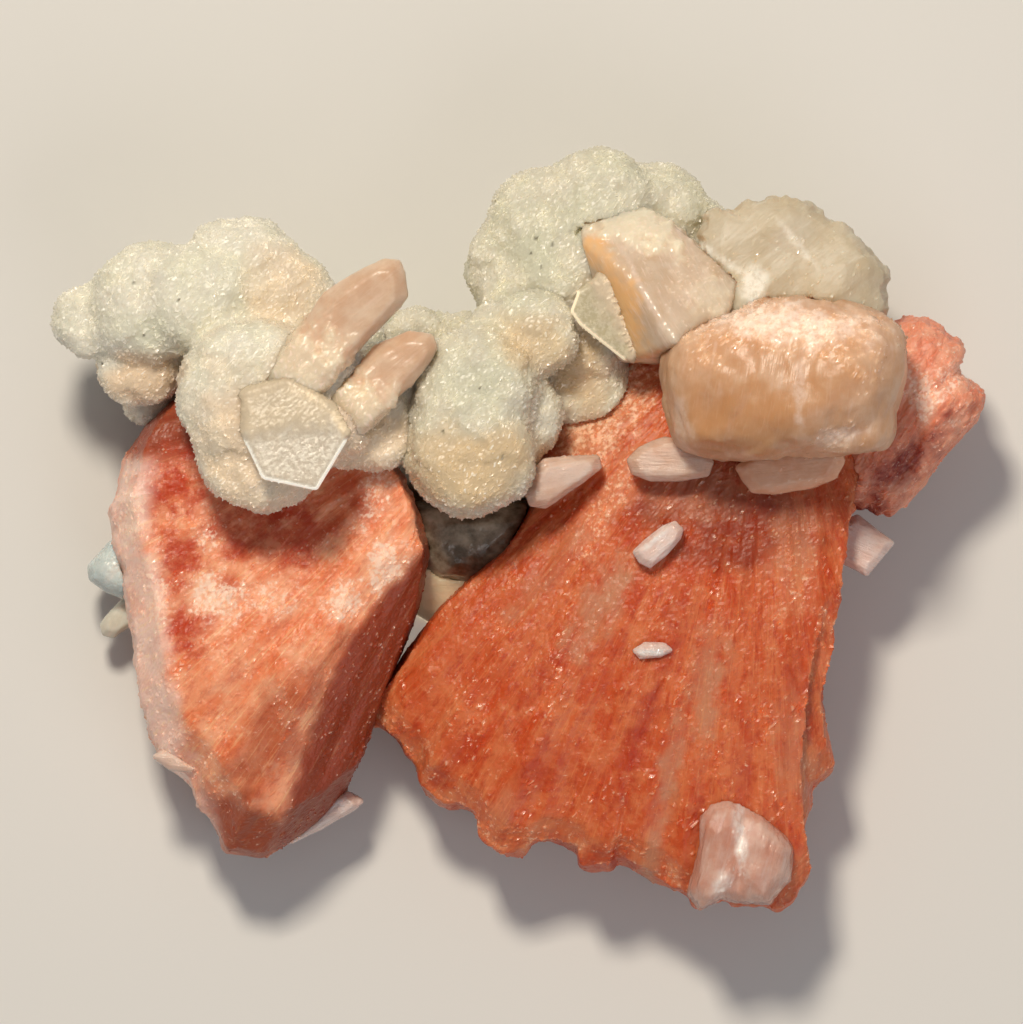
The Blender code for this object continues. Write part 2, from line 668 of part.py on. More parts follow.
def main():
    for old in list(bpy.data.objects):
        bpy.data.objects.remove(old)
    salmon = finish("salmon_heulandite", (0.72, 0.24, 0.11), 0.45)
    peach = finish("peach_stilbite", (0.80, 0.55, 0.38), 0.3)
    white = finish("white_stilbite", (0.80, 0.72, 0.68), 0.25)
    pale = finish("pale_druse", (0.72, 0.71, 0.58), 0.35)
    clear = finish("clear_heulandite", (0.85, 0.80, 0.76), 0.08, see_through=1.0)
    grey = finish("blue_grey_crystal", (0.42, 0.46, 0.45), 0.2)
    beige = finish("beige_crystal", (0.42, 0.32, 0.22), 0.35)
    crust = finish("grey_green_crust", (0.50, 0.49, 0.40), 0.6)
    fans = [heulandite_fan_right(salmon), heulandite_fan_left(salmon), heulandite_wing(salmon)]
    on_fans = [
        stilbite_loaf(peach),
        stilbite_blade_top(peach),
        stilbite_fan_pale(white),
        stilbite_sheaf_lower(white),
        *stilbite_tablets(peach, clear, white),
    ]
    masses = [druse_left(pale), druse_top(pale), druse_centre(pale)]
    behind = back_crystals(grey, beige, white)
    ground = matrix_crust(crust)
    pieces = [*fans, *on_fans, *masses, *behind, ground]
    fit_together(pieces)
    for mass in masses:
        slim(mass, DRUSE_FACES)
    slim(ground, CRUST_FACES)
    break_off_flat(ground)
    centre_over_origin(pieces)
    for piece in pieces:
        piece.data.shade_smooth()
        piece.data.set_sharp_from_angle(angle=SHARP_EDGE)


main()
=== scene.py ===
"""The looks of a heulandite and stilbite cluster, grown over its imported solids.

Each solid is meshed finely, then shaped the way its mineral grows: fans along their fibres, druse
into flat-topped lobes under a sugar of small crystals, sheaves and tablets with fine threads.
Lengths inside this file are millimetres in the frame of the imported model, and turn into metres in
the meshes.
"""

import logging
import math
from dataclasses import dataclass, field
from enum import Enum
from itertools import product

import bpy
import numpy as np
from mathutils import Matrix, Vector


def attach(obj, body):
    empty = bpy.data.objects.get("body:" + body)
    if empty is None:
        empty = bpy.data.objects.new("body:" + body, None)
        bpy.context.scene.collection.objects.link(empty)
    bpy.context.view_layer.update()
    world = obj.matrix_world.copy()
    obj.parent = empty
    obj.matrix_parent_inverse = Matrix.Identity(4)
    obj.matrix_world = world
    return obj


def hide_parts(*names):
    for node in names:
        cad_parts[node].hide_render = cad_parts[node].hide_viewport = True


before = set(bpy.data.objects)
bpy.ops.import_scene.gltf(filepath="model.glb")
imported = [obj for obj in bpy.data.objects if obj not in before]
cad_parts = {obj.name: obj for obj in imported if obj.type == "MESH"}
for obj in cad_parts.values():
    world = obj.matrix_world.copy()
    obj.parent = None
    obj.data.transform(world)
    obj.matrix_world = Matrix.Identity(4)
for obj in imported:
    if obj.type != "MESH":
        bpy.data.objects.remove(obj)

Array = np.ndarray
Socket = bpy.types.NodeSocket
Colour = tuple[float, float, float, float]
Size = float | tuple[float, float, float]

MM = 0.001
LOG = logging.getLogger("cluster")

# What brings lattice noise to a range of about -1 to 1
NOISE_REACH = 1.7
# How strong each octave of noise is beside the one before, and how far its lattice is moved
OCTAVE_SHARE, OCTAVE_SHIFT = 0.55, 19.7
# Draws at a point are the same within a cell of this many to the millimetre
DRAWS_PER_MM = 500
# How far a crystal tip leans from the skin's normal, its shortest length and how much that varies
TIP_LEAN, TIP_SHORTEST, TIP_SPREAD = 0.45, 0.4, 0.8
# The spark of the dullest tip, where the brightest has 1
DULLEST_SPARK = 0.3


# Numbers that vary from place to place


def scrambled(cells: Array, seed: int) -> Array:
    """Draws a repeatable whole number for each cell of a lattice.

    Args:
        cells: whole numbers, three for each cell.
        seed: which drawing of the lattice this is.

    Returns:
        One number of 32 bits for each cell.
    """
    x, y, z = (cells[:, k].astype(np.int64).view(np.uint64) for k in range(3))
    mixed = x * np.uint64(0x8DA6B343) ^ y * np.uint64(0xD8163841) ^ z * np.uint64(0xCB1AB31F)
    mixed = mixed ^ np.uint64(seed * 0x9E3779B1 + 1)
    for shift, factor in ((15, 0x2C1B3C6D), (12, 0x297A2D39), (15, 0x1B873593)):
        mixed = ((mixed ^ (mixed >> np.uint64(shift))) * np.uint64(factor)) & np.uint64(0xFFFFFFFF)
    return mixed


def share_of(numbers: Array, bit: int) -> Array:
    """Turns ten bits of each scrambled number, from this bit up, into a value from 0 to 1."""
    return ((numbers >> np.uint64(bit)) & np.uint64(1023)).astype(float) / 1023


def places_of(numbers: Array) -> Array:
    """Turns each scrambled number into a random place in a cell, from 0 to 1 on each axis."""
    return np.stack([share_of(numbers, bit) for bit in (0, 10, 20)], axis=1)


def arrows_of(numbers: Array) -> Array:
    """Turns each scrambled number into a random vector, from -1 to 1 on each axis."""
    return places_of(numbers) * 2 - 1


def soft_noise(points: Array, seed: int) -> Array:
    """Reads smooth lattice noise.

    Args:
        points: places, in lattice cells.
        seed: which noise this is.

    Returns:
        A value for each place, mostly from -1 to 1.
    """
    cell = np.floor(points).astype(np.int64)
    inside = points - cell
    ease = inside**3 * (inside * (inside * 6 - 15) + 10)
    total = np.zeros(len(points))
    for corner in product((0, 1), repeat=3):
        slope = arrows_of(scrambled(cell + corner, seed))
        weight = np.prod(np.where(corner, ease, 1 - ease), axis=1)
        total += weight * np.einsum("ij,ij->i", slope, inside - corner)
    return total * NOISE_REACH


def fractal(points: Array, size: Size, octaves: int, seed: int) -> Array:
    """Adds up octaves of smooth noise.

    Args:
        points: places in millimetres.
        size: size of the largest swells in millimetres, one for all axes or one for each.
        octaves: how many halvings of that size are added.
        seed: which noise this is.

    Returns:
        A value for each place, mostly from -1 to 1.
    """
    scaled = points / np.array(size)
    total, reach, most = np.zeros(len(points)), 1.0, 0.0
    for octave in range(octaves):
        total += reach * soft_noise(scaled * 2**octave + OCTAVE_SHIFT * octave, seed + octave)
        most += reach
        reach *= OCTAVE_SHARE
    return total / most


def ledges(points: Array, size: Size, sharpness: float, seed: int) -> Array:
    """Turns noise into flat steps with short slopes between them.

    Args:
        points: places in millimetres.
        size: size of the largest steps in millimetres, one for all axes or one for each.
        sharpness: how short the slopes are.
        seed: which noise this is.

    Returns:
        A value from -1 to 1 for each place, mostly near one or the other.
    """
    return np.tanh(sharpness * fractal(points, size, 2, seed))


def grains(points: Array, size: Size, seed: int) -> tuple[Array, Array]:
    """Parts space into grains round scattered seeds.

    Args:
        points: places in millimetres.
        size: size of a grain in millimetres, one for all axes or one for each.
        seed: which scatter this is.

    Returns:
        How far each place is inside its grain, from 0 at a border to about 1, and a value from
        0 to 1 that its whole grain shares.
    """
    scaled = points / np.array(size)
    cell = np.floor(scaled).astype(np.int64)
    nearest, second = np.full(len(points), 9.0), np.full(len(points), 9.0)
    owner = np.zeros(len(points))
    for step in product((-1, 0, 1), repeat=3):
        drawn = scrambled(cell + step, seed)
        away = np.linalg.norm(scaled - (cell + step + places_of(drawn)), axis=1)
        closer = away < nearest
        second = np.where(closer, nearest, np.minimum(second, away))
        owner = np.where(closer, share_of(drawn, 5), owner)
        nearest = np.where(closer, away, nearest)
    return second - nearest, owner


def domes(points: Array, size: Size, sunk: float, seed: int) -> Array:
    """Raises each grain of a scatter to a height of its own, and sinks all of them by as much."""
    inside, owner = grains(points, size, seed)
    return inside * (0.5 + owner) - sunk


def step_between(values: Array, low: float, high: float) -> Array:
    """Eases from 0 where a value is at low to 1 where it is at high; low may be above high."""
    share = np.clip((values - low) / (high - low), 0, 1)
    return share * share * (3 - 2 * share)


def turned(places: Array, degrees: float) -> tuple[Array, Array]:
    """Gives each place's distance along a heading, and to the left of it, seen from above."""
    angle = math.radians(degrees)
    x, y = places[:, 0], places[:, 1]
    return x * math.cos(angle) + y * math.sin(angle), y * math.cos(angle) - x * math.sin(angle)


@dataclass(frozen=True)
class Blotch:
    """A patch of colour on a face, seen from above."""

    x: float
    y: float
    across: float
    along: float
    turn: float = 0.0
    strength: float = 1.0
    fray: float = 0.8
    outer: float = 1.25
    inner: float = 0.35

    def on(self, points: Array, wander: Array) -> Array:
        """Says how much each place lies in this patch.

        Args:
            points: places in millimetres.
            wander: a value for each place that frays the patch's edge.

        Returns:
            A value from 0 to the patch's strength for each place.
        """
        u, v = turned(points[:, :2] - np.array([self.x, self.y]), self.turn)
        away = np.hypot(u / self.across, v / self.along)
        return self.strength * step_between(away + self.fray * wander, self.outer, self.inner)


def patches(points: Array, blotches: tuple[Blotch, ...], seed: int, fray: float = 2.2) -> Array:
    """Joins several blotches into one value from 0 to 1 for each place.

    Args:
        points: places in millimetres.
        blotches: the patches.
        seed: which noise frays their edges.
        fray: size of the frays in millimetres.

    Returns:
        The largest value that any patch gives each place.
    """
    wander = fractal(points, fray, 3, seed)
    found = np.zeros(len(points))
    for blotch in blotches:
        found = np.maximum(found, blotch.on(points, wander))
    return found


def line_at(line: tuple[tuple[float, float], ...], at: Array) -> Array:
    """Reads a line given as (place, value) pairs in rising order of place."""
    return np.interp(at, [place for place, _ in line], [value for _, value in line])


# Meshes


@dataclass
class Surface:
    """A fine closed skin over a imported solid, with its points in millimetres."""

    points: Array
    corners: Array
    marks: dict[str, Array] = field(default_factory=dict)

    @classmethod
    def over(cls, node: str, voxel: float) -> "Surface":
        """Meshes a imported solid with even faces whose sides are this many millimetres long."""
        return cls.even(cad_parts[node].data.copy(), voxel)

    @classmethod
    def even(cls, mesh: bpy.types.Mesh, voxel: float) -> "Surface":
        """Meshes anew what a mesh encloses.

        Args:
            mesh: the mesh, which may cross itself.
            voxel: length of a new face's side in millimetres.

        Returns:
            The new skin, in triangles.
        """
        rough = bpy.data.objects.new("rough", mesh)
        bpy.context.scene.collection.objects.link(rough)
        remesh = rough.modifiers.new("even", "REMESH")
        remesh.mode = "VOXEL"
        remesh.voxel_size = voxel * MM
        graph = bpy.context.evaluated_depsgraph_get()
        fine = bpy.data.meshes.new_from_object(rough.evaluated_get(graph))
        bpy.data.objects.remove(rough)
        bpy.data.meshes.remove(mesh)
        points = np.zeros(len(fine.vertices) * 3)
        fine.vertices.foreach_get("co", points)
        fine.calc_loop_triangles()
        corners = np.zeros(len(fine.loop_triangles) * 3, np.int64)
        fine.loop_triangles.foreach_get("vertices", corners)
        bpy.data.meshes.remove(fine)
        return cls(points.reshape(-1, 3) / MM, corners.reshape(-1, 3))

    def remeshed(self, voxel: float) -> "Surface":
        """Meshes the skin anew, which heals folds. Its marks are left behind."""
        return Surface.even(self.mesh("folded"), voxel)

    def mesh(self, name: str) -> bpy.types.Mesh:
        """Makes a mesh of the points and triangles, in metres."""
        made = bpy.data.meshes.new(name)
        made.vertices.add(len(self.points))
        made.vertices.foreach_set("co", (self.points * MM).astype(np.float32).ravel())
        made.loops.add(self.corners.size)
        made.loops.foreach_set("vertex_index", self.corners.astype(np.int32).ravel())
        made.polygons.add(len(self.corners))
        made.polygons.foreach_set("loop_start", np.arange(0, self.corners.size, 3, dtype=np.int32))
        made.update(calc_edges=True)
        return made

    def facing(self) -> Array:
        """Gives each triangle's normal, as long as twice its area."""
        a, b, c = (self.points[self.corners[:, k]] for k in range(3))
        return np.cross(b - a, c - a)

    def normals(self) -> Array:
        """Averages the triangles' normals at each point."""
        facing = self.facing()
        summed = np.zeros_like(self.points)
        for axis in range(3):
            for k in range(3):
                summed[:, axis] += np.bincount(self.corners[:, k], facing[:, axis], len(self.points))
        return unit(summed)

    def walls(self, flat: float, steep: float) -> Array:
        """Gives 0 where a point's normal has at least the flat height, and 1 at the steep one or less."""
        return step_between(np.abs(self.normals()[:, 2]), flat, steep)

    def relax(self, rounds: int, back: float = 0.53, pull: float = 0.5) -> None:
        """Smooths the points.

        Args:
            rounds: how many times.
            back: how far each round swells the skin back. With 0 its corners grow rounder.
            pull: how far each round pulls a point towards its neighbours.
        """
        first = self.corners[:, [0, 1, 2]].ravel()
        second = self.corners[:, [1, 2, 0]].ravel()
        count = np.maximum(np.bincount(first, minlength=len(self.points)), 1)
        for turn in range(rounds * 2):
            step = -back if turn % 2 else pull
            summed = [np.bincount(first, axis[second], len(self.points)) for axis in self.points.T]
            self.points = self.points + step * (np.stack(summed, axis=1) / count[:, None] - self.points)

    def push(self, heights: Array) -> None:
        """Moves each point along its normal by its height in millimetres."""
        self.points = self.points + self.normals() * heights[:, None]

    def draw(self, seed: int) -> Array:
        """Draws a repeatable whole number for each point."""
        return scrambled(np.round(self.points * DRAWS_PER_MM).astype(np.int64), seed)

    def scatter(self, reach: float, seed: int) -> None:
        """Moves each point by a small random step, which turns smooth skin into facets."""
        self.points = self.points + arrows_of(self.draw(seed)) * reach

    def sprout(self, spacing: float, reach: float, wanted: Array, seed: int) -> None:
        """Draws single points out into small crystal tips, and marks them as spark; the finishes paint these
        tips whiter, a painted glint.

        Args:
            spacing: about how far apart the tips stand, in millimetres.
            reach: how long a tip is, in millimetres.
            wanted: how likely a tip is at each point, from 0 to 1.
            seed: which scatter this is.
        """
        drawn = self.draw(seed)
        cells = scrambled(np.floor(self.points / spacing).astype(np.int64), seed + 1).astype(np.int64)
        order = np.lexsort((drawn, cells))
        first = np.ones(len(order), bool)
        first[1:] = np.diff(cells[order]) != 0
        chosen = order[first]
        chosen = chosen[share_of(drawn[chosen], 8) < wanted[chosen]]
        lean = unit(self.normals()[chosen] + TIP_LEAN * arrows_of(drawn[chosen]))
        length = TIP_SHORTEST + TIP_SPREAD * share_of(drawn[chosen], 4)
        self.points[chosen] += lean * reach * length[:, None]
        self.marks["spark"] = np.zeros(len(self.points))
        self.marks["spark"][chosen] = DULLEST_SPARK + (1 - DULLEST_SPARK) * share_of(drawn[chosen], 14)

    def rest(self) -> None:
        """Lifts what has sunk under the resting plane back onto it."""
        self.points[:, 2] = np.maximum(self.points[:, 2], 0)

    def piece(self, name: str, node: str, finish: "Finish", smooth: bool) -> bpy.types.Object:
        """Puts the skin into the scene in place of its solid.

        Args:
            name: the new piece's name.
            node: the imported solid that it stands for.
            finish: what it is made of.
            smooth: whether its faces are shaded as one skin.

        Returns:
            The piece, riding on the cluster.
        """
        made = self.mesh(name)
        made.polygons.foreach_set("use_smooth", np.full(len(self.corners), smooth))
        made.materials.append(finish.material())
        for mark, values in self.marks.items():
            plain = values.ndim == 1
            layer = made.attributes.new(mark, "FLOAT" if plain else "FLOAT_VECTOR", "POINT")
            layer.data.foreach_set("value" if plain else "vector", values.astype(np.float32).ravel())
        shown = bpy.data.objects.new(name, made)
        bpy.context.scene.collection.objects.link(shown)
        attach(shown, "root")
        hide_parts(node)
        LOG.info("%s: %d points, %d triangles", name, len(self.points), len(self.corners))
        return shown


def unit(vectors: Array) -> Array:
    """Gives each vector the length 1."""
    return vectors / np.maximum(np.linalg.norm(vectors, axis=1), 1e-12)[:, None]


# Finishes


def tint(red: int, green: int, blue: int) -> Colour:
    """Turns a colour as a screen shows it, 0 to 255, into the shader's linear values."""
    shown = [value / 255 for value in (red, green, blue)]
    linear = [((v + 0.055) / 1.055) ** 2.4 if v > 0.04045 else v / 12.92 for v in shown]
    return (linear[0], linear[1], linear[2], 1.0)


class Slot(Enum):
    """The record's material slots."""

    SALMON = "salmon_heulandite"
    CLEAR = "clear_heulandite"
    PEACH = "peach_stilbite"
    WHITE = "white_stilbite"
    DRUSE = "pale_druse"
    CRUST = "grey_green_crust"
    BLUE_GREY = "blue_grey_crystal"
    BEIGE = "beige_crystal"


class Graph:
    """The shader nodes of one finish, with short calls for those that it needs."""

    def __init__(self, name: str) -> None:
        """Starts a material with only its output node."""
        self.made = bpy.data.materials.new(name)
        self.made.use_nodes = True
        self.tree = self.made.node_tree
        self.tree.nodes.clear()
        self.output = self.tree.nodes.new("ShaderNodeOutputMaterial")
        self.place = self.node("ShaderNodeTexCoord").outputs["Object"]

    def node(self, kind: str, **settings: object) -> bpy.types.Node:
        """Adds a node of this kind with these settings."""
        added = self.tree.nodes.new(kind)
        for name, value in settings.items():
            setattr(added, name, value)
        return added

    def feed(self, socket: Socket, value: object) -> None:
        """Gives an input socket a link or a constant."""
        if isinstance(value, bpy.types.NodeSocket):
            self.tree.links.new(value, socket)
        else:
            socket.default_value = value

    def mark(self, name: str) -> Socket:
        """Reads a value that the mesh carries at its points."""
        return self.node("ShaderNodeAttribute", attribute_name=name).outputs["Fac"]

    def fibres(self) -> Socket:
        """Reads the place across, along and through the fibres, in millimetres."""
        return self.node("ShaderNodeAttribute", attribute_name="fibre").outputs["Vector"]

    def stretched(self, where: Socket, sizes: tuple[float, float, float]) -> Socket:
        """Divides a place by a size for each axis."""
        scaled = self.node("ShaderNodeVectorMath", operation="MULTIPLY")
        self.feed(scaled.inputs[0], where)
        self.feed(scaled.inputs[1], tuple(1 / size for size in sizes))
        return scaled.outputs["Vector"]

    def noise(self, where: Socket, scale: float, detail: float = 3.0, rough: float = 0.55) -> Socket:
        """Reads noise at a place.

        Args:
            where: the place.
            scale: cells of noise for each unit of the place.
            detail: octaves of finer noise.
            rough: how strong the finer octaves are.

        Returns:
            A value round a half.
        """
        made = self.node("ShaderNodeTexNoise")
        self.feed(made.inputs["Vector"], where)
        self.feed(made.inputs["Scale"], scale)
        self.feed(made.inputs["Detail"], detail)
        self.feed(made.inputs["Roughness"], rough)
        return made.outputs["Fac"]

    def between(
        self, value: Socket, low: float, high: float, least: float = 0.0, most: float = 1.0
    ) -> Socket:
        """Eases a value from least, where it is at low, to most, where it is at high."""
        made = self.node("ShaderNodeMapRange", interpolation_type="SMOOTHSTEP")
        inputs = {"Value": value, "From Min": low, "From Max": high, "To Min": least, "To Max": most}
        for name, given in inputs.items():
            self.feed(made.inputs[name], given)
        return made.outputs["Result"]

    def maths(self, operation: str, first: object, second: object) -> Socket:
        """Works out one value from two, such as their product."""
        made = self.node("ShaderNodeMath", operation=operation)
        self.feed(made.inputs[0], first)
        self.feed(made.inputs[1], second)
        return made.outputs["Value"]

    def times(self, first: object, second: object) -> Socket:
        """Multiplies two values."""
        return self.maths("MULTIPLY", first, second)

    def over(self, share: object, below: object, above: object) -> Socket:
        """Lays one colour over another, so that this share of the upper one shows."""
        made = self.node("ShaderNodeMix", data_type="RGBA")
        self.feed(made.inputs["Factor"], share)
        self.feed(made.inputs[6], below)
        self.feed(made.inputs[7], above)
        return made.outputs[2]

    def bump(self, height: Socket, reach: float, strength: float) -> Socket:
        """Turns a height from 0 to 1 into a normal.

        Args:
            height: the height.
            reach: what a height of 1 stands for, in millimetres.
            strength: how much of it shows.

        Returns:
            The normal.
        """
        made = self.node("ShaderNodeBump")
        self.feed(made.inputs["Height"], height)
        self.feed(made.inputs["Distance"], reach * MM)
        self.feed(made.inputs["Strength"], strength)
        return made.outputs["Normal"]

    def shade(self, **inputs: object) -> bpy.types.Material:
        """Ends the tree with one surface shader, whose inputs are named with underscores."""
        shader = self.node("ShaderNodeBsdfPrincipled", subsurface_method="BURLEY")
        for name, value in inputs.items():
            self.feed(shader.inputs[name.replace("_", " ")], value)
        self.tree.links.new(shader.outputs["BSDF"], self.output.inputs["Surface"])
        return self.made


@dataclass(frozen=True)
class Finish:
    """What a piece is made of: its record's slot and how it is shaded."""

    name: str
    kind: Slot

    @property
    def slot(self) -> str:
        """Names the record's slot."""
        return self.kind.value

    def material(self) -> bpy.types.Material:
        """Finds the finish's material, or makes it the first time."""
        return bpy.data.materials.get(self.name) or self.made()

    def made(self) -> bpy.types.Material:
        """Makes the material."""
        raise NotImplementedError


@dataclass(frozen=True)
class SalmonFinish(Finish):
    """Heulandite coloured by iron: translucent fibres from pink to brick red, with white grains."""

    light: Colour = tint(216, 118, 70)
    body: Colour = tint(198, 74, 24)
    deep: Colour = tint(172, 44, 12)
    # The colour of painted shade: laid where a fan lies in a shadow or turns from the light.
    shade: Colour = tint(140, 46, 14)
    white: Colour = tint(252, 208, 174)
    grey: Colour = tint(198, 132, 98)
    peach: Colour = tint(248, 182, 136)
    gold: Colour = tint(246, 176, 116)
    glow: float = 1.6
    mottle: float = 0.6
    hairs: float = 0.16
    cloud: float = 300.0
    crumb: float = 1700.0

    def made(self) -> bpy.types.Material:
        """Makes the material."""
        g = Graph(self.name)
        fibres, spark = g.fibres(), g.mark("spark")
        streak = g.noise(g.stretched(fibres, (1.6, 9, 5)), 1.0, 4)
        thread = g.noise(g.stretched(fibres, (0.7, 2.4, 1.6)), 1.0, 5, 0.7)
        cloud = g.noise(g.place, self.cloud, 5, 0.7)
        crumb = g.noise(g.place, self.crumb, 3, 0.6)
        hair = g.noise(g.stretched(fibres, (0.2, 6, 1.5)), 1.0, 2)
        colour = g.over(g.between(streak, 0.34, 0.72, 0, 0.8), self.body, self.light)
        colour = g.over(g.between(thread, 0.48, 0.66, 0, self.mottle), colour, self.deep)
        colour = g.over(g.between(cloud, 0.48, 0.64, 0, 0.7), colour, self.light)
        # Painted shade: darkens the fan where the shade mark is set.
        colour = g.over(g.mark("shade"), colour, self.shade)
        # The pale mark: the fan's own white patches, and the painted highlight on steep edges.
        colour = g.over(g.times(g.mark("pale"), 0.6), colour, self.peach)
        red = g.times(g.mark("deep"), g.between(cloud, 0.4, 0.6, 1.0, 0.5))
        colour = g.over(red, colour, self.deep)
        greyness = g.times(g.mark("grey"), g.between(streak, 0.25, 0.6, 0.5, 0.9))
        colour = g.over(greyness, colour, self.grey)
        plain = g.between(g.maths("MAXIMUM", g.mark("shade"), g.mark("deep")), 0, 0.8, 1, 0.2)
        hairs = g.times(g.between(hair, 0.54, 0.7, 0, self.hairs), plain)
        colour = g.over(hairs, colour, self.gold)
        whiter = g.maths("ADD", crumb, g.times(g.mark("pale"), 0.3))
        colour = g.over(g.between(whiter, 0.62, 0.86, 0, 0.85), colour, self.white)
        # Painted glints: crystal tips are painted whiter.
        colour = g.over(g.between(spark, 0.2, 1.0, 0, 0.5), colour, self.white)
        height = g.maths("ADD", thread, g.times(crumb, 0.7))
        return g.shade(
            Base_Color=colour,
            Roughness=g.between(spark, 0.0, 0.5, 0.4, 0.14),
            IOR=1.5,
            Subsurface_Weight=0.8,
            Subsurface_Radius=(1.0, 0.4, 0.22),
            Subsurface_Scale=self.glow * MM,
            Normal=g.bump(height, 0.18, 0.45),
        )


@dataclass(frozen=True)
class DruseFinish(Finish):
    """A sugar of small colourless crystals over pale stone."""

    pale: Colour = tint(220, 217, 205)
    green: Colour = tint(213, 212, 195)
    # A warm tint; on the druses in shade its patches also stand for painted shade.
    warm: Colour = tint(223, 201, 174)
    # The colour of the painted glints on crystal tips.
    bright: Colour = tint(255, 252, 244)
    speck: Colour = tint(84, 80, 62)
    glow: float = 2.2
    cloud: float = 170.0
    crumb: float = 1700.0

    def made(self) -> bpy.types.Material:
        """Makes the material."""
        g = Graph(self.name)
        cloud = g.noise(g.place, self.cloud, 4, 0.6)
        crumb = g.noise(g.place, self.crumb, 3, 0.6)
        colour = g.over(g.between(cloud, 0.36, 0.66, 0, 0.8), self.pale, self.green)
        colour = g.over(g.between(crumb, 0.4, 0.7, 0, 0.2), colour, self.warm)
        colour = g.over(g.mark("green"), colour, self.green)
        colour = g.over(g.mark("warm"), colour, self.warm)
        # Painted glints: crystal tips are painted brighter.
        colour = g.over(g.between(g.mark("spark"), 0.3, 1.0, 0, 0.8), colour, self.bright)
        colour = g.over(g.mark("speck"), colour, self.speck)
        return g.shade(
            Base_Color=colour,
            Roughness=g.between(g.mark("spark"), 0.0, 0.5, 0.3, 0.07),
            IOR=1.52,
            Subsurface_Weight=0.85,
            Subsurface_Radius=(1.0, 0.92, 0.7),
            Subsurface_Scale=self.glow * MM,
            Normal=g.bump(crumb, 0.15, 0.6),
        )


@dataclass(frozen=True)
class StilbiteFinish(Finish):
    """Pearly stilbite: a glossy translucent body with threads along its length."""

    body: Colour = tint(206, 156, 118)
    light: Colour = tint(220, 180, 148)
    amber: Colour = tint(196, 138, 88)
    white: Colour = tint(252, 230, 216)
    crust: Colour = tint(240, 228, 204)
    glow: float = 3.0
    gloss: float = 0.2
    clear: float = 0.0
    rugged: float = 0.12
    streaks: float = 0.08
    # A painted glow: how strongly the crystal glows though it is no lamp.
    lit: float = 0.0
    cloud: float = 240.0
    crumb: float = 1300.0

    def made(self) -> bpy.types.Material:
        """Makes the material."""
        g = Graph(self.name)
        fibres = g.fibres()
        streak = g.noise(g.stretched(fibres, (0.9, 6, 3)), 1.0, 4)
        thread = g.noise(g.stretched(fibres, (0.25, 2.5, 1.2)), 1.0, 3)
        cloud = g.noise(g.place, self.cloud, 4, 0.6)
        crumb = g.noise(g.place, self.crumb, 4, 0.65)
        colour = g.over(g.between(cloud, 0.34, 0.68), self.body, self.light)
        colour = g.over(g.between(streak, 0.52, 0.76, 0, 0.22), colour, self.white)
        colour = g.over(g.mark("amber"), colour, self.amber)
        colour = g.over(g.between(thread, 0.54, 0.72, 0, self.streaks), colour, self.white)
        # The pale mark: white streaks, and on the loaf, the sheaf and two crystals also painted highlights
        # and glints.
        whiter = g.times(g.mark("pale"), g.between(crumb, 0.3, 0.6, 0.35, 0.95))
        colour = g.over(whiter, colour, self.white)
        colour = g.over(g.mark("root"), colour, self.crust)
        # Painted glints: crystal tips are painted whiter.
        colour = g.over(g.between(g.mark("spark"), 0.2, 1.0, 0, 0.7), colour, self.white)
        height = g.maths("ADD", thread, g.times(crumb, 0.7))
        return g.shade(
            Base_Color=colour,
            Roughness=g.between(g.mark("spark"), 0.0, 0.5, self.gloss, 0.07),
            IOR=1.5,
            Transmission_Weight=self.clear,
            Subsurface_Weight=0.85,
            Subsurface_Radius=(1.0, 0.6, 0.38),
            Subsurface_Scale=self.glow * MM,
            # Painted glow, by emission.
            Emission_Color=self.body,
            Emission_Strength=self.lit,
            Normal=g.bump(height, self.rugged, 0.5),
        )


@dataclass(frozen=True)
class ClearFinish(Finish):
    """A colourless crystal, more or less milky, that what lies under it shows through."""

    body: Colour = tint(212, 200, 182)
    milk: Colour = tint(232, 224, 208)
    crust: Colour = tint(218, 202, 176)
    # The colour of the painted glow along the rim on one side.
    rim: Colour = tint(255, 252, 240)
    clear: float = 0.14
    glow: float = 1.5
    # How strongly the rim glows: a painted glow.
    lit: float = 0.32
    wave: float = 420.0
    cloud: float = 1500.0

    def made(self) -> bpy.types.Material:
        """Makes the material."""
        g = Graph(self.name)
        rim = g.mark("rim")
        wave = g.noise(g.place, self.wave, 4, 0.6)
        milk = g.noise(g.place, self.cloud, 4, 0.7)
        colour = g.over(g.between(milk, 0.42, 0.62), self.body, self.milk)
        colour = g.over(g.mark("root"), colour, self.crust)
        # Painted highlight: the rim on the glowing side is painted bright, and glows by emission.
        colour = g.over(rim, colour, self.rim)
        return g.shade(
            Base_Color=colour,
            Roughness=g.between(milk, 0.4, 0.6, 0.06, 0.24),
            IOR=1.49,
            Transmission_Weight=self.clear,
            Subsurface_Weight=0.8,
            Subsurface_Radius=(1.0, 0.95, 0.85),
            Subsurface_Scale=self.glow * MM,
            Emission_Color=self.rim,
            Emission_Strength=g.times(rim, self.lit),
            Normal=g.bump(g.maths("ADD", wave, g.times(milk, 0.8)), 0.2, 0.6),
        )


@dataclass(frozen=True)
class SmokyFinish(Finish):
    """Dark smoky crystal with a glassy skin. Its dark colour stands partly for the deep shade between the
    fans: painted shade.
    """

    dark: Colour = tint(112, 98, 76)
    light: Colour = tint(206, 192, 166)
    glow: float = 1.5
    cloud: float = 300.0
    crumb: float = 600.0

    def made(self) -> bpy.types.Material:
        """Makes the material."""
        g = Graph(self.name)
        cloud = g.noise(g.place, self.cloud, 4, 0.6)
        return g.shade(
            Base_Color=g.over(g.between(cloud, 0.35, 0.7), self.dark, self.light),
            Roughness=0.06,
            IOR=1.54,
            Transmission_Weight=0.08,
            Subsurface_Weight=0.3,
            Subsurface_Radius=(1.0, 0.9, 0.8),
            Subsurface_Scale=self.glow * MM,
            Coat_Weight=0.4,
            Coat_Roughness=0.05,
            Normal=g.bump(g.noise(g.place, self.crumb, 4, 0.6), 0.25, 0.7),
        )


# The pieces


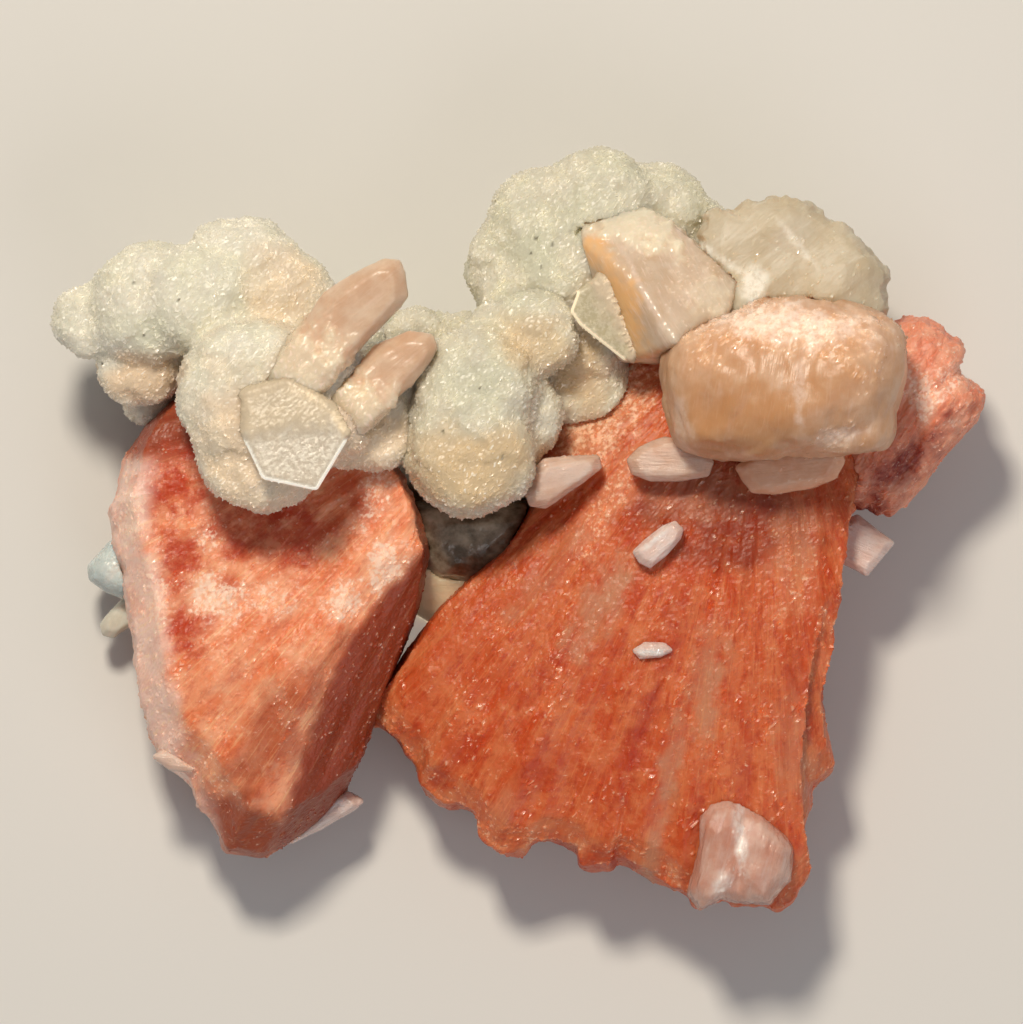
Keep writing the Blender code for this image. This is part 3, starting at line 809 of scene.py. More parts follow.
@dataclass
class Fan:
    """A sheaf of heulandite fibres that spread from one point."""

    name: str
    node: str
    apex: tuple[float, float]
    finish: Finish
    voxel: float = 0.37
    grow: float = 0.12
    ledge: float = 0.14
    ridge: float = 0.24
    thread: float = 0.1
    crumb: float = 0.12
    facet: float = 0.032
    tip: float = 0.2
    tooth: float = 0.45
    spread: float = 42.0
    ledge_size: Size = (4.5, 16, 8)
    ridge_size: Size = (2.4, 16, 7)
    thread_size: Size = (0.9, 5, 3)
    crumb_size: Size = (0.9, 1.7, 1.3)
    tooth_size: Size = (2.2, 40, 14)
    cluster_size: Size = (2.5, 6, 4)
    spacing: float = 0.75
    # How much whiter the steep band along a fan's edges is painted, a painted highlight, and the slope where
    # it is strongest.
    edge: float = 0.55
    highlight_slope: float = 0.6
    foot_height: float = 8.0
    soften: int = 12
    seed: int = 1
    deep: tuple[Blotch, ...] = ()
    pale: tuple[Blotch, ...] = ()
    grey: tuple[Blotch, ...] = ()
    # Patches of painted shadow and shade on the fan.
    shade: tuple[Blotch, ...] = ()

    def coordinates(self, points: Array) -> Array:
        """Gives each place its distance across, along and through the fibres, in millimetres."""
        dx, dy = points[:, 0] - self.apex[0], points[:, 1] - self.apex[1]
        reach = np.hypot(dx, dy)
        return np.stack([np.arctan2(dx, -dy) * self.spread, reach, points[:, 2]], axis=1)

    def relief(self, surface: Surface, fibre: Array) -> Array:
        """Works out the ledges, ridges and grains of the skin.

        Args:
            surface: the fan so far.
            fibre: the fibre coordinates of its points.

        Returns:
            A height for each point.
        """
        steps = ledges(fibre, self.ledge_size, 7, self.seed + 5)
        ridges = fractal(fibre, self.ridge_size, 3, self.seed)
        threads = fractal(fibre, self.thread_size, 2, self.seed + 10)
        crumbs = domes(fibre, self.crumb_size, 0.3, self.seed + 20)
        teeth = surface.walls(0.6, 0.25) * ledges(fibre, self.tooth_size, 4, self.seed + 25)
        heights = self.grow + self.ledge * steps + self.ridge * ridges + self.thread * threads
        return heights + self.crumb * crumbs + self.tooth * teeth

    def colours(self, surface: Surface) -> None:
        """Marks where the fan is red, white or grey, and where painted shade falls on it. Steep edges get a
        painted highlight.
        """
        points = surface.points
        surface.marks["deep"] = patches(points, self.deep, self.seed + 30)
        # A painted highlight: the steep band between face and side is painted whiter, as if lit through the
        # edge.
        steep = 1 - np.abs(surface.normals()[:, 2] - self.highlight_slope) / 0.3
        frayed = np.clip(0.6 + fractal(points, 2.5, 2, self.seed + 45), 0, 1)
        edge = self.edge * np.clip(steep, 0, 1) * frayed * (points[:, 2] > self.foot_height)
        surface.marks["pale"] = np.maximum(patches(points, self.pale, self.seed + 40), edge)
        surface.marks["grey"] = patches(points, self.grey, self.seed + 50)
        # Painted shade from the shade patches.
        surface.marks["shade"] = patches(points, self.shade, self.seed + 55, 5.0)

    def build(self) -> bpy.types.Object:
        """Builds the fan in place of its solid."""
        surface = Surface.over(self.node, self.voxel)
        surface.relax(self.soften)
        fibre = self.coordinates(surface.points)
        surface.marks["fibre"] = fibre
        self.colours(surface)
        surface.push(self.relief(surface, fibre))
        surface.scatter(self.facet, self.seed + 60)
        cluster = step_between(fractal(fibre, self.cluster_size, 3, self.seed + 80), 0.05, 0.35)
        wanted = 0.03 + 0.6 * cluster + 0.5 * surface.marks["pale"]
        surface.sprout(self.spacing, self.tip, wanted, self.seed + 70)
        surface.rest()
        return surface.piece(self.name, self.node, self.finish, smooth=False)


@dataclass
class LeftFan(Fan):
    """The left fan, with a crest, a smooth flank on its right and a pale margin on its left."""

    crest: tuple[tuple[float, float], ...] = (
        (-38, -30.8), (-29, -27.5), (-20.5, -25), (-13, -21.3), (-6, -15.8), (-1.5, -12), (6, -8),
    )
    margin: tuple[tuple[float, float], ...] = ((-36, -40), (-24, -44.3), (-10, -46.8), (5, -48.7), (14, -46))
    # The upper corner, which lies in the druse's shadow and is painted with shade.
    corner: tuple[float, float] = (-36, 7.5)
    foot: float = -31.0
    fray_size: float = 3.0
    band: tuple[float, float] = (5.4, 2.0)
    darkness: float = 0.95

    def colours(self, surface: Surface) -> None:
        """Marks the patches, the grey margin, painted shade on the flank and the upper corner, and the plain
        foot.
        """
        super().colours(surface)
        points = surface.points
        frayed = fractal(points, self.fray_size, 3, self.seed + 70)
        inward = points[:, 0] - line_at(self.margin, points[:, 1]) + 1.6 * frayed
        upper = step_between(points[:, 1] + frayed, self.corner[1], self.corner[1] + 2.5)
        corner = upper * step_between(points[:, 0] + frayed, self.corner[0], self.corner[0] - 3)
        band = self.darkness * step_between(inward, *self.band) * (1 - upper)
        surface.marks["grey"] = np.maximum(surface.marks["grey"], band)
        # Painted shade: the flank right of the crest turns from the light, and the upper corner lies in the
        # druse's shadow, so both take the shade colour and lose their white.
        beyond = points[:, 0] - line_at(self.crest, points[:, 1]) + 0.8 * frayed
        flank = step_between(beyond, -0.5, 2.0)
        foot = step_between(points[:, 1] + frayed, self.foot, self.foot - 3)
        surface.marks["pale"] *= 1 - self.darkness * np.maximum(flank, np.maximum(corner, foot))
        flank_and_corner_shade = self.darkness * np.maximum(flank, 0.85 * corner)
        surface.marks["shade"] = np.maximum(surface.marks["shade"], flank_and_corner_shade)


@dataclass
class Druse:
    """A mass of flat-topped lobes under a sugar of small crystals."""

    name: str
    node: str
    lobes: tuple[tuple[float, float, float, float], ...]
    finish: Finish
    voxel: float = 0.3
    grow: float = 0.12
    flatness: float = 3.3
    swell: float = 0.25
    ledge: float = 0.3
    lump: float = 0.1
    grain: float = 0.22
    grain_size: float = 0.75
    ledge_size: float = 5.0
    swell_size: float = 6.0
    lump_size: float = 2.2
    facet: float = 0.05
    tip: float = 0.26
    spacing: float = 0.68
    close: float = 0.5
    seed: int = 100
    warm: tuple[Blotch, ...] = ()
    green: tuple[Blotch, ...] = ()
    specks: tuple[tuple[float, float], ...] = ()
    shift: tuple[float, float] = (0.03, 0.34)
    blend: float = 0.6
    reach: float = 2.2
    rounds: int = 5
    soften: int = 6
    dense_size: float = 3.5
    cut_depth: float = 1.6
    crust_height: float = 1.0
    speck_height: float = 15.0
    speck_radius: float = 0.26

    def outside(self, points: Array) -> tuple[Array, Array]:
        """Measures how far places are outside the joined lobes.

        Args:
            points: the places.

        Returns:
            The distance of each place, below 0 inside, and the direction in which it grows.
        """
        total, leaning = np.zeros(len(points)), np.zeros_like(points)
        tiny, faintest = 1e-6, 1e-18
        for x, y, z, radius in self.lobes:
            away = (points - np.array([x + self.shift[0], y + self.shift[1], z])) / radius
            flat = np.maximum(np.hypot(away[:, 0], away[:, 1]), tiny)
            power = self.flatness
            size = np.maximum((flat**power + np.abs(away[:, 2]) ** power) ** (1 / power), tiny)
            sideways = (flat / size) ** (power - 1) / flat
            upward = np.sign(away[:, 2]) * (np.abs(away[:, 2]) / size) ** (power - 1)
            slope = np.stack([away[:, 0] * sideways, away[:, 1] * sideways, upward], axis=1)
            weight = np.exp(np.clip(-(size - 1) * radius / self.blend, -40, 40))
            total += weight
            leaning += slope * weight[:, None]
        total = np.maximum(total, faintest)
        return -self.blend * np.log(total), leaning / total[:, None]

    def rounded(self, points: Array) -> Array:
        """Moves points near the lobes onto them.

        Args:
            points: the points of the mass.

        Returns:
            The moved points. Where a neighbour has cut the mass, they stay.
        """
        if not self.lobes:
            return points
        moved = points.copy()
        first, _ = self.outside(points)
        for _ in range(self.rounds):
            distance, slope = self.outside(moved)
            steep = np.maximum((slope**2).sum(axis=1), 0.2)
            moved -= slope * (distance / steep)[:, None]
        share = step_between(np.abs(first), self.reach + 1.2, self.reach)
        return points + (moved - points) * share[:, None]

    def build(self) -> bpy.types.Object:
        """Builds the mass in place of its solid."""
        surface = Surface.over(self.node, self.voxel)
        surface.relax(self.soften)
        surface.points = self.rounded(surface.points)
        surface.relax(2)
        surface = surface.remeshed(self.voxel)
        points = surface.points
        swells = fractal(points, self.swell_size, 2, self.seed + 6)
        steps = ledges(points, self.ledge_size, 7, self.seed + 7)
        lumps = fractal(points, self.lump_size, 3, self.seed + 4)
        cut = self.close * step_between(self.outside(points)[0], -0.5, -1.3) if self.lobes else 0.0
        crystals = domes(points, self.grain_size, 0.35, self.seed + 11)
        heights = self.grow + cut + self.swell * swells + self.ledge * steps + self.lump * lumps
        surface.push(heights + self.grain * crystals)
        points = surface.points
        # Warm patches: a warm tint, and on the druses in shade also painted shade.
        surface.marks["warm"] = patches(points, self.warm, self.seed + 1, 7.0)
        surface.marks["green"] = patches(points, self.green, self.seed + 2, 7.0)
        surface.marks["speck"] = self.dirt(points)
        surface.scatter(self.facet, self.seed + 5)
        dense = step_between(fractal(points, self.dense_size, 2, self.seed + 9), -0.5, 0.3)
        wanted = self.open_skin(points) * (0.3 + 0.7 * dense)
        surface.sprout(self.spacing, self.tip, wanted, self.seed + 8)
        surface.rest()
        return surface.piece(self.name, self.node, self.finish, smooth=False)

    def open_skin(self, points: Array) -> Array:
        """Says where crystals can stand: on the lobes, and not where a neighbour has cut them."""
        if not self.lobes:
            return np.where(points[:, 2] > self.crust_height, 1.0, 0.0)
        return np.where(self.outside(points)[0] > -self.cut_depth, 1.0, 0.0)

    def dirt(self, points: Array) -> Array:
        """Marks the few dark specks."""
        found = np.zeros(len(points))
        high = points[:, 2] > self.speck_height
        for x, y in self.specks:
            away = np.hypot(points[:, 0] - x, points[:, 1] - y)
            found = np.maximum(found, high * step_between(away, self.speck_radius, 0.1))
        return found


@dataclass
class Blade:
    """A single crystal, or a sheaf grown as one, with threads along its length."""

    name: str
    node: str
    finish: Finish
    heading: float
    voxel: float = 0.25
    grow: float = 0.15
    soften: int = 3
    rounds: int = 0
    ledge: float = 0.0
    wave: float = 0.12
    thread: float = 0.05
    crumb: float = 0.0
    facet: float = 0.0
    seed: int = 300
    tooth: float = 0.0
    tip: float = 0.16
    smooth: bool = True
    thread_size: Size = (0.55, 6, 2)
    ledge_size: Size = (4, 9, 5)
    tooth_size: Size = (1.8, 1.8, 9)
    wave_size: float = 3.2
    spacing: float = 0.6
    root_growth: float = 0.45
    amber: tuple[Blotch, ...] = ()
    pale: tuple[Blotch, ...] = ()
    rooted: tuple[Blotch, ...] = ()
    glitter: tuple[Blotch, ...] = ()

    def coordinates(self, points: Array) -> Array:
        """Gives each place its distance across, along and through the threads, in millimetres."""
        along, across = turned(points, self.heading)
        return np.stack([across, along, points[:, 2]], axis=1)

    def shaped(self, surface: Surface, root: Array) -> Array:
        """Lets a special crystal add marks of its own, and gives where it is rooted in the druse."""
        return root

    def build(self) -> bpy.types.Object:
        """Builds the crystal in place of its solid."""
        surface = Surface.over(self.node, self.voxel)
        surface.relax(self.soften)
        surface.relax(self.rounds, 0.0)
        points = surface.points
        fibre = self.coordinates(points)
        root = self.shaped(surface, patches(points, self.rooted, self.seed + 7, 2.0))
        surface.marks["root"] = root
        surface.marks["fibre"] = fibre
        surface.marks["amber"] = patches(points, self.amber, self.seed + 1, 3.0)
        surface.marks["pale"] = patches(points, self.pale, self.seed + 2, 2.0)
        waves = fractal(points, self.wave_size, 3, self.seed + 3)
        threads = fractal(fibre, self.thread_size, 2, self.seed + 4)
        steps = ledges(fibre, self.ledge_size, 6, self.seed + 12)
        heights = self.grow + self.wave * waves + self.ledge * steps + self.thread * threads
        heights += self.root_growth * root
        if self.tooth:
            teeth = ledges(points, self.tooth_size, 4, self.seed + 13)
            heights += self.tooth * surface.walls(0.7, 0.3) * teeth
        if self.crumb:
            heights += self.crumb * (grains(points, 1.0, self.seed + 5)[0] - 0.35)
        surface.push(heights)
        if self.facet:
            surface.scatter(self.facet, self.seed + 6)
        if self.rooted or self.glitter:
            glints = np.maximum(root, patches(points, self.glitter, self.seed + 8, 2.0))
            surface.sprout(self.spacing, self.tip, glints, self.seed + 9)
        surface.rest()
        return surface.piece(self.name, self.node, self.finish, self.smooth)


@dataclass
class ClearPlate(Blade):
    """A thin colourless tablet. Its rim on one side is painted bright and glows, a painted highlight, and
    druse creeps over the other.
    """

    # The heading of the side whose rim gets the painted glow.
    glow_heading: float = -80.0

    def shaped(self, surface: Surface, root: Array) -> Array:
        """Marks the rim that takes the painted glow, and gives where the tablet is rooted in the druse."""
        rim = surface.walls(0.99, 0.85)
        toward, _ = turned(surface.normals(), self.glow_heading)
        surface.marks["rim"] = rim * step_between(toward, -0.1, 0.2)
        along, _ = turned(surface.points - surface.points.mean(axis=0), self.glow_heading)
        fading = step_between(along + 1.2 * fractal(surface.points, 1.6, 2, self.seed + 11), 0.6, -2.2)
        return np.maximum(root, np.maximum(fading, 2 * rim * step_between(toward, -0.1, -0.4)))


@dataclass
class Studio:
    """The pale floor, the soft lights and the camera over the cluster."""

    pixel: float = 0.12
    centre: tuple[float, float] = (-0.87, 2.44)
    middle_height: float = 22.0
    distance: float = 2000.0
    picture: tuple[int, int] = (1023, 1024)
    sensor: float = 36.0
    floor_half: float = 6.0
    sky: float = 0.22
    aim: tuple[float, float, float] = (0, 0, 0.02)

    def floor(self) -> None:
        """Lays a plain pale floor."""
        mesh = bpy.data.meshes.new("floor")
        half = self.floor_half
        corners = [(-half, -half, 0), (half, -half, 0), (half, half, 0), (-half, half, 0)]
        mesh.from_pydata(corners, [], [(0, 1, 2, 3)])
        g = Graph("floor_paint")
        paint = g.over(g.noise(g.place, 3, 2), tint(226, 225, 222), tint(230, 229, 226))
        mesh.materials.append(g.shade(Base_Color=paint, Roughness=0.85))
        laid = bpy.data.objects.new("floor", mesh)
        bpy.context.scene.collection.objects.link(laid)

    def light(
        self, name: str, place: tuple[float, float, float], side: float, power: float, colour: Colour
    ) -> None:
        """Hangs a square soft light that faces the cluster.

        Args:
            name: the light's name.
            place: where it hangs, in metres.
            side: its side in metres.
            power: its power in watts.
            colour: its colour.
        """
        lamp = bpy.data.lights.new(name, "AREA")
        lamp.shape = "SQUARE"
        lamp.size = side
        lamp.energy = power
        lamp.color = colour[:3]
        hung = bpy.data.objects.new(name, lamp)
        hung.location = place
        hung.rotation_euler = (Vector(self.aim) - Vector(place)).to_track_quat("-Z", "Y").to_euler()
        hung.visible_camera = False
        bpy.context.scene.collection.objects.link(hung)

    def camera(self) -> None:
        """Sets the camera straight above, far away, so that a pixel is the same size at all heights."""
        lens = bpy.data.cameras.new("camera")
        lens.sensor_width = self.sensor
        lens.lens = self.sensor * self.distance / (self.pixel * max(self.picture))
        lens.clip_start, lens.clip_end = 0.05, 50.0
        seat = bpy.data.objects.new("camera", lens)
        seat.location = (self.centre[0] * MM, self.centre[1] * MM, (self.distance + self.middle_height) * MM)
        bpy.context.scene.collection.objects.link(seat)
        bpy.context.scene.camera = seat

    def build(self) -> None:
        """Sets up the floor, the lights, the sky and the camera."""
        self.floor()
        self.light("key", (-0.12, 0.39, 0.71), side=0.12, power=4.8, colour=tint(255, 243, 224))
        self.light("fill", (0.35, -0.5, 0.6), side=0.6, power=1.3, colour=tint(252, 248, 250))
        world = bpy.data.worlds.new("sky")
        world.use_nodes = True
        background = world.node_tree.nodes["Background"]
        background.inputs["Color"].default_value = tint(240, 240, 242)
        background.inputs["Strength"].default_value = self.sky
        bpy.context.scene.world = world
        bpy.context.scene.view_settings.view_transform = "Standard"
        self.camera()
        LOG.info("studio: floor, two lights and the camera")


SALMON = SalmonFinish("salmon_heulandite_skin", Slot.SALMON)
SALMON_PINK = SalmonFinish(
    "pink_heulandite_skin", Slot.SALMON, light=tint(248, 176, 136), body=tint(236, 128, 80),
    deep=tint(190, 62, 26), grey=tint(250, 218, 206), peach=tint(252, 200, 168),
    gold=tint(255, 214, 160), shade=tint(140, 46, 12), white=tint(254, 222, 200), mottle=0.4, hairs=0.36,
)
ROSE_SALMON = SalmonFinish(
    "rose_heulandite_skin", Slot.SALMON, light=tint(238, 166, 138), body=tint(222, 124, 92),
    deep=tint(132, 28, 20), grey=tint(240, 196, 176), peach=tint(250, 196, 166),
    gold=tint(250, 196, 150), white=tint(254, 222, 204), mottle=0.25, hairs=0.25,
)
DRUSE = DruseFinish("pale_druse_skin", Slot.DRUSE)
# A darker copy of the druse for the druses between the fans and on the far side, which lie in shade: painted
# shade.
SHADED_OLIVE_DRUSE = DruseFinish(
    "shaded_olive_druse_skin", Slot.DRUSE, pale=tint(209, 205, 190), green=tint(203, 202, 182),
    warm=tint(206, 184, 150),
)
CRUST = DruseFinish(
    "grey_green_crust_skin", Slot.CRUST, pale=tint(200, 200, 180), green=tint(168, 174, 150), glow=1.2,
)
PEACH = StilbiteFinish("peach_stilbite_skin", Slot.PEACH, gloss=0.34)
ROSY = StilbiteFinish(
    "rosy_stilbite_skin", Slot.PEACH, body=tint(212, 174, 144), light=tint(226, 198, 172),
    crust=tint(224, 206, 180), gloss=0.28,
)
ORANGE = StilbiteFinish(
    "orange_stilbite_skin", Slot.PEACH, body=tint(218, 190, 162), light=tint(230, 208, 186),
    amber=tint(255, 200, 138), clear=0.1, streaks=0.4,
)
WHITE = StilbiteFinish(
    "white_stilbite_skin", Slot.WHITE, body=tint(232, 190, 166), light=tint(246, 218, 202), glow=1.6,
    gloss=0.14, clear=0.15, rugged=0.5, streaks=0.35,
)
ICE = StilbiteFinish(
    "ice_white_stilbite_skin", Slot.WHITE, body=tint(242, 208, 196), light=tint(254, 236, 230),
    white=tint(255, 250, 248), glow=1.2, gloss=0.07, clear=0.15, rugged=0.6, streaks=0.3,
)
# A painted glow lifts the sliver out of the shade between the fans.
SLIVER = StilbiteFinish(
    "sliver_white_skin", Slot.WHITE, body=tint(236, 230, 214), light=tint(248, 244, 232), glow=1.6,
    lit=0.3,
)
ROSE_WHITE = StilbiteFinish(
    "rose_white_stilbite_skin", Slot.WHITE, body=tint(212, 150, 128), light=tint(230, 190, 174),
    glow=1.6, white=tint(255, 248, 244), gloss=0.1, clear=0.15, rugged=0.35,
)
CREAM = StilbiteFinish(
    "cream_stilbite_skin", Slot.WHITE, body=tint(200, 184, 156), light=tint(212, 200, 178), glow=2.4,
    gloss=0.5, white=tint(255, 250, 238), rugged=0.05,
)
TONGUE = StilbiteFinish(
    "tongue_stilbite_skin", Slot.PEACH, body=tint(226, 160, 124), light=tint(238, 188, 156), glow=2.0,
)
BLUE_GREY = StilbiteFinish(
    "blue_grey_skin", Slot.BLUE_GREY, body=tint(188, 200, 200), light=tint(216, 226, 224), glow=1.6,
)
PALE_BEIGE = StilbiteFinish(
    "pale_beige_skin", Slot.BEIGE, body=tint(204, 198, 182), light=tint(222, 217, 202), glow=1.8,
)
# A painted glow lifts the block out of the shade between the fans.
BEIGE = StilbiteFinish(
    "beige_skin", Slot.BEIGE, body=tint(220, 196, 158), light=tint(236, 216, 184), glow=1.8, lit=0.1,
)
CLEAR = ClearFinish("clear_heulandite_skin", Slot.CLEAR)
CLEAR_WARM = ClearFinish(
    "warm_clear_heulandite_skin", Slot.CLEAR, body=tint(200, 190, 158), milk=tint(222, 214, 186),
    rim=tint(255, 240, 208),
)
SMOKY_AND_SHADED = SmokyFinish("smoky_and_shaded_skin", Slot.CRUST)


def fans() -> list[Fan]:
    """Lists the three heulandite fans."""
    right = Fan(
        "fan_right", "heulandite_fan_right", (30.1, 26.7), SALMON, voxel=0.37, seed=1,
        deep=(
            Blotch(2.5, -29, 2.2, 6.5, -38, 0.6), Blotch(14, -26, 1.8, 9, -14, 0.7),
            Blotch(9, -40, 5, 2.2, 15, 0.6), Blotch(34, -20, 1.5, 7, 8, 0.6),
            Blotch(27, -30, 1.6, 6, -4, 0.5), Blotch(18, -12, 1.5, 6, -18, 0.6),
            Blotch(4, -16, 1.5, 6, -36, 0.6), Blotch(-7, -27, 1.5, 6, -42, 0.5),
            Blotch(21, -36, 1.2, 6, -10, 0.5),
        ),
        pale=(
            Blotch(6.5, 11.5, 3.2, 2.6, 30, 0.9), Blotch(10, 15, 10, 6, 45, 0.75),
            Blotch(11, 4, 2.4, 9, -25, 0.5), Blotch(33, -6, 3, 6, 0, 0.35),
        ),
        grey=(
            Blotch(9.6, -9.3, 2.8, 8.0, -29), Blotch(22.6, -18, 2.3, 7.5, -9),
            Blotch(18.2, -29, 1.5, 7, -12), Blotch(16, -39, 1.3, 5, -12), Blotch(33, 0, 4, 6, -10, 0.6),
            Blotch(21, 5, 9, 4, 0, 0.5), Blotch(-2, -33, 2, 3, -30, 0.5), Blotch(9, 13, 5, 8, -25, 0.5),
            Blotch(4, -4, 2, 9, -38, 0.6), Blotch(33, -26, 3, 8, 6, 0.5),
        ),
        # Painted shadow of the loaf on the fan below it.
        shade=(Blotch(26, 2.5, 13, 6.5, 0, 0.9),),
    )
    left = LeftFan(
        "fan_left", "heulandite_fan_left", (6.2, 25.5), SALMON_PINK, voxel=0.34, tooth=0.15, seed=2,
        # Painted shade: the patch at -43.7, 12.3 is the druse's shadow; the others shade the flank and the
        # tip.
        shade=(
            Blotch(-33, -36, 7, 6, 0, 0.85), Blotch(-29, -24, 4.5, 10, -35, 0.55),
            Blotch(-43.7, 12.3, 5.5, 5, 0, 0.9),
        ),
        # The red patches at -33.5, 4.8, -29.6, 2.2 and -28, -0.5, just under the druse, are partly the fan's
        # own red and partly painted shadow of the druse.
        deep=(
            Blotch(-42.1, 5.7, 4, 4.4), Blotch(-29.6, 2.2, 6, 2.8), Blotch(-33.5, 4.8, 2.6, 2.6),
            Blotch(-25.6, 2.8, 2.4, 2.8), Blotch(-27, -2.9, 3.4, 2.6), Blotch(-33.4, -1.6, 2.6, 2.6),
            Blotch(-40.7, -3.4, 3.4, 4.4), Blotch(-39.8, -11.4, 3.0, 3.6),
            Blotch(-34.9, -6.2, 1.6, 1.6, 0, 0.7), Blotch(-44, 3, 2.0, 3.0, 0, 0.7),
            Blotch(-41, 8, 4.5, 3, 20), Blotch(-38, 3.5, 3.4, 3, 0, 0.9),
            Blotch(-28, -0.5, 8, 3.4, 5, 0.85), Blotch(-36, 1, 3, 2.6, 0, 0.8),
            Blotch(-41, -7, 2.4, 4, 0, 0.7), Blotch(-20, 5, 3, 5, 30, 0.6),
        ),
        pale=(
            Blotch(-15.7, -4.0, 3.4, 3.8), Blotch(-20.9, -8.5, 3.2, 2.2, 45), Blotch(-46.4, 1.5, 2, 4.5),
            Blotch(-36.4, -7.5, 4, 3.4), Blotch(-37.4, -0.6, 2.4, 2.4, 0, 0.7),
            Blotch(-30, -8, 4, 2.6, 0, 0.6), Blotch(-44, -8, 2.5, 6, 0, 0.7),
            Blotch(-17, 5, 2.4, 6, -20, 0.6),
        ),
    )
    wing = Fan(
        "wing", "heulandite_wing", (30, -13), ROSE_SALMON, seed=3, voxel=0.32, crumb=0.3, grow=0.4,
        tooth=0.25, deep=(Blotch(45.5, 7.5, 7.5, 2.4, 42), Blotch(41, 2, 4, 2.4, 30)),
        pale=(Blotch(48.5, 16.5, 2.4, 3), Blotch(45, 19.5, 3, 2.6), Blotch(52, 18, 3, 3, 0, 0.6)),
    )
    return [right, left, wing]


def druses() -> list[Druse]:
    """Lists the masses of druse and the crust behind them."""
    left = Druse(
        "druse_over_left_fan", "druse_left",
        (
            (-33.3, 29.7, 21, 7.7), (-44.2, 27, 21, 7.1), (-51.6, 25, 19.5, 4.2), (-45.4, 20.2, 18, 5.2),
            (-38.8, 27.6, 25, 6), (-27.6, 27.4, 23, 5.4), (-31.7, 16.1, 28, 8.9),
            (-30.8, 9.6, 27.5, 7.4), (-23.3, 15.5, 27, 7.4), (-17.8, 12.6, 24, 5.6),
            (-15.4, 17.4, 23.5, 5), (-44.5, 16.5, 11, 3.6),
        ),
        DRUSE, seed=100,
        warm=(
            Blotch(-30.5, 11, 11, 11, 0, 0.85), Blotch(-45, 18, 7, 3.5), Blotch(-19, 13, 8, 8, 0, 0.8),
            Blotch(-27, 29, 5.5, 7, 0, 0.6),
        ),
        green=(Blotch(-44, 24, 4, 4), Blotch(-34, 30, 6, 5, 0, 0.6)),
        specks=(
            (-40.6, 27.7), (-50, 20.2), (-44.9, 23.6), (-30.7, 15.3), (-31, 10.7), (-29, 18.7),
            (-46, 30),
        ),
    )
    top = Druse(
        "druse_far_side", "druse_top",
        (
            (9.5, 38.7, 20, 6.8), (2.6, 37, 19, 5.9), (-1.4, 32, 18, 4.9), (0.8, 27.5, 19, 5.4),
            (17, 38.2, 18, 5.4), (21.4, 35.6, 17, 4.3), (6.2, 31.2, 20, 6.4), (7.3, 18, 16, 6),
            (6.7, 24, 18, 6.2), (24, 31.5, 14, 5.2),
        ),
        # Its warm patches are the tan of its lower lobes in shade: painted shade.
        SHADED_OLIVE_DRUSE, seed=200, warm=(Blotch(7, 19, 4, 6), Blotch(10, 27, 3, 4, 0, 0.5)),
        green=(Blotch(2.5, 33.6, 4, 4), Blotch(9, 37, 6, 4, 0, 0.5)),
        specks=((2.1, 35.3), (1.4, 33.4), (2.7, 31.8), (4, 34.5), (12.5, 38), (6, 36)),
    )
    centre = Druse(
        "druse_between_fans", "druse_centre",
        (
            (-4.9, 17, 26.5, 7.3), (-5.6, 9.3, 26.5, 7.7), (-12.8, 12.5, 23.5, 4.5),
            (0.5, 13.5, 23, 4.6), (1.9, 23.3, 25.5, 5), (-2.5, 24.2, 26, 3), (-12.4, 22.2, 14, 4.2),
            (-7.2, 22, 13, 4),
        ),
        # Its warm patches are partly the tan of lobes in shade: painted shade.
        SHADED_OLIVE_DRUSE, seed=300, warm=(Blotch(-5.6, 8, 8, 6), Blotch(2, 23.5, 5, 4, 0, 0.8)),
        green=(Blotch(-6, 18, 5, 4, 0, 0.8),), specks=((-4.6, 17.3), (-9, 12), (-2, 9)),
    )
    crust = Druse(
        "crust", "matrix_crust", (), CRUST, voxel=0.65, tip=0.4, spacing=1.2, grain=0.4, grain_size=1.5,
        facet=0.1, seed=400,
    )
    return [left, top, centre, crust]


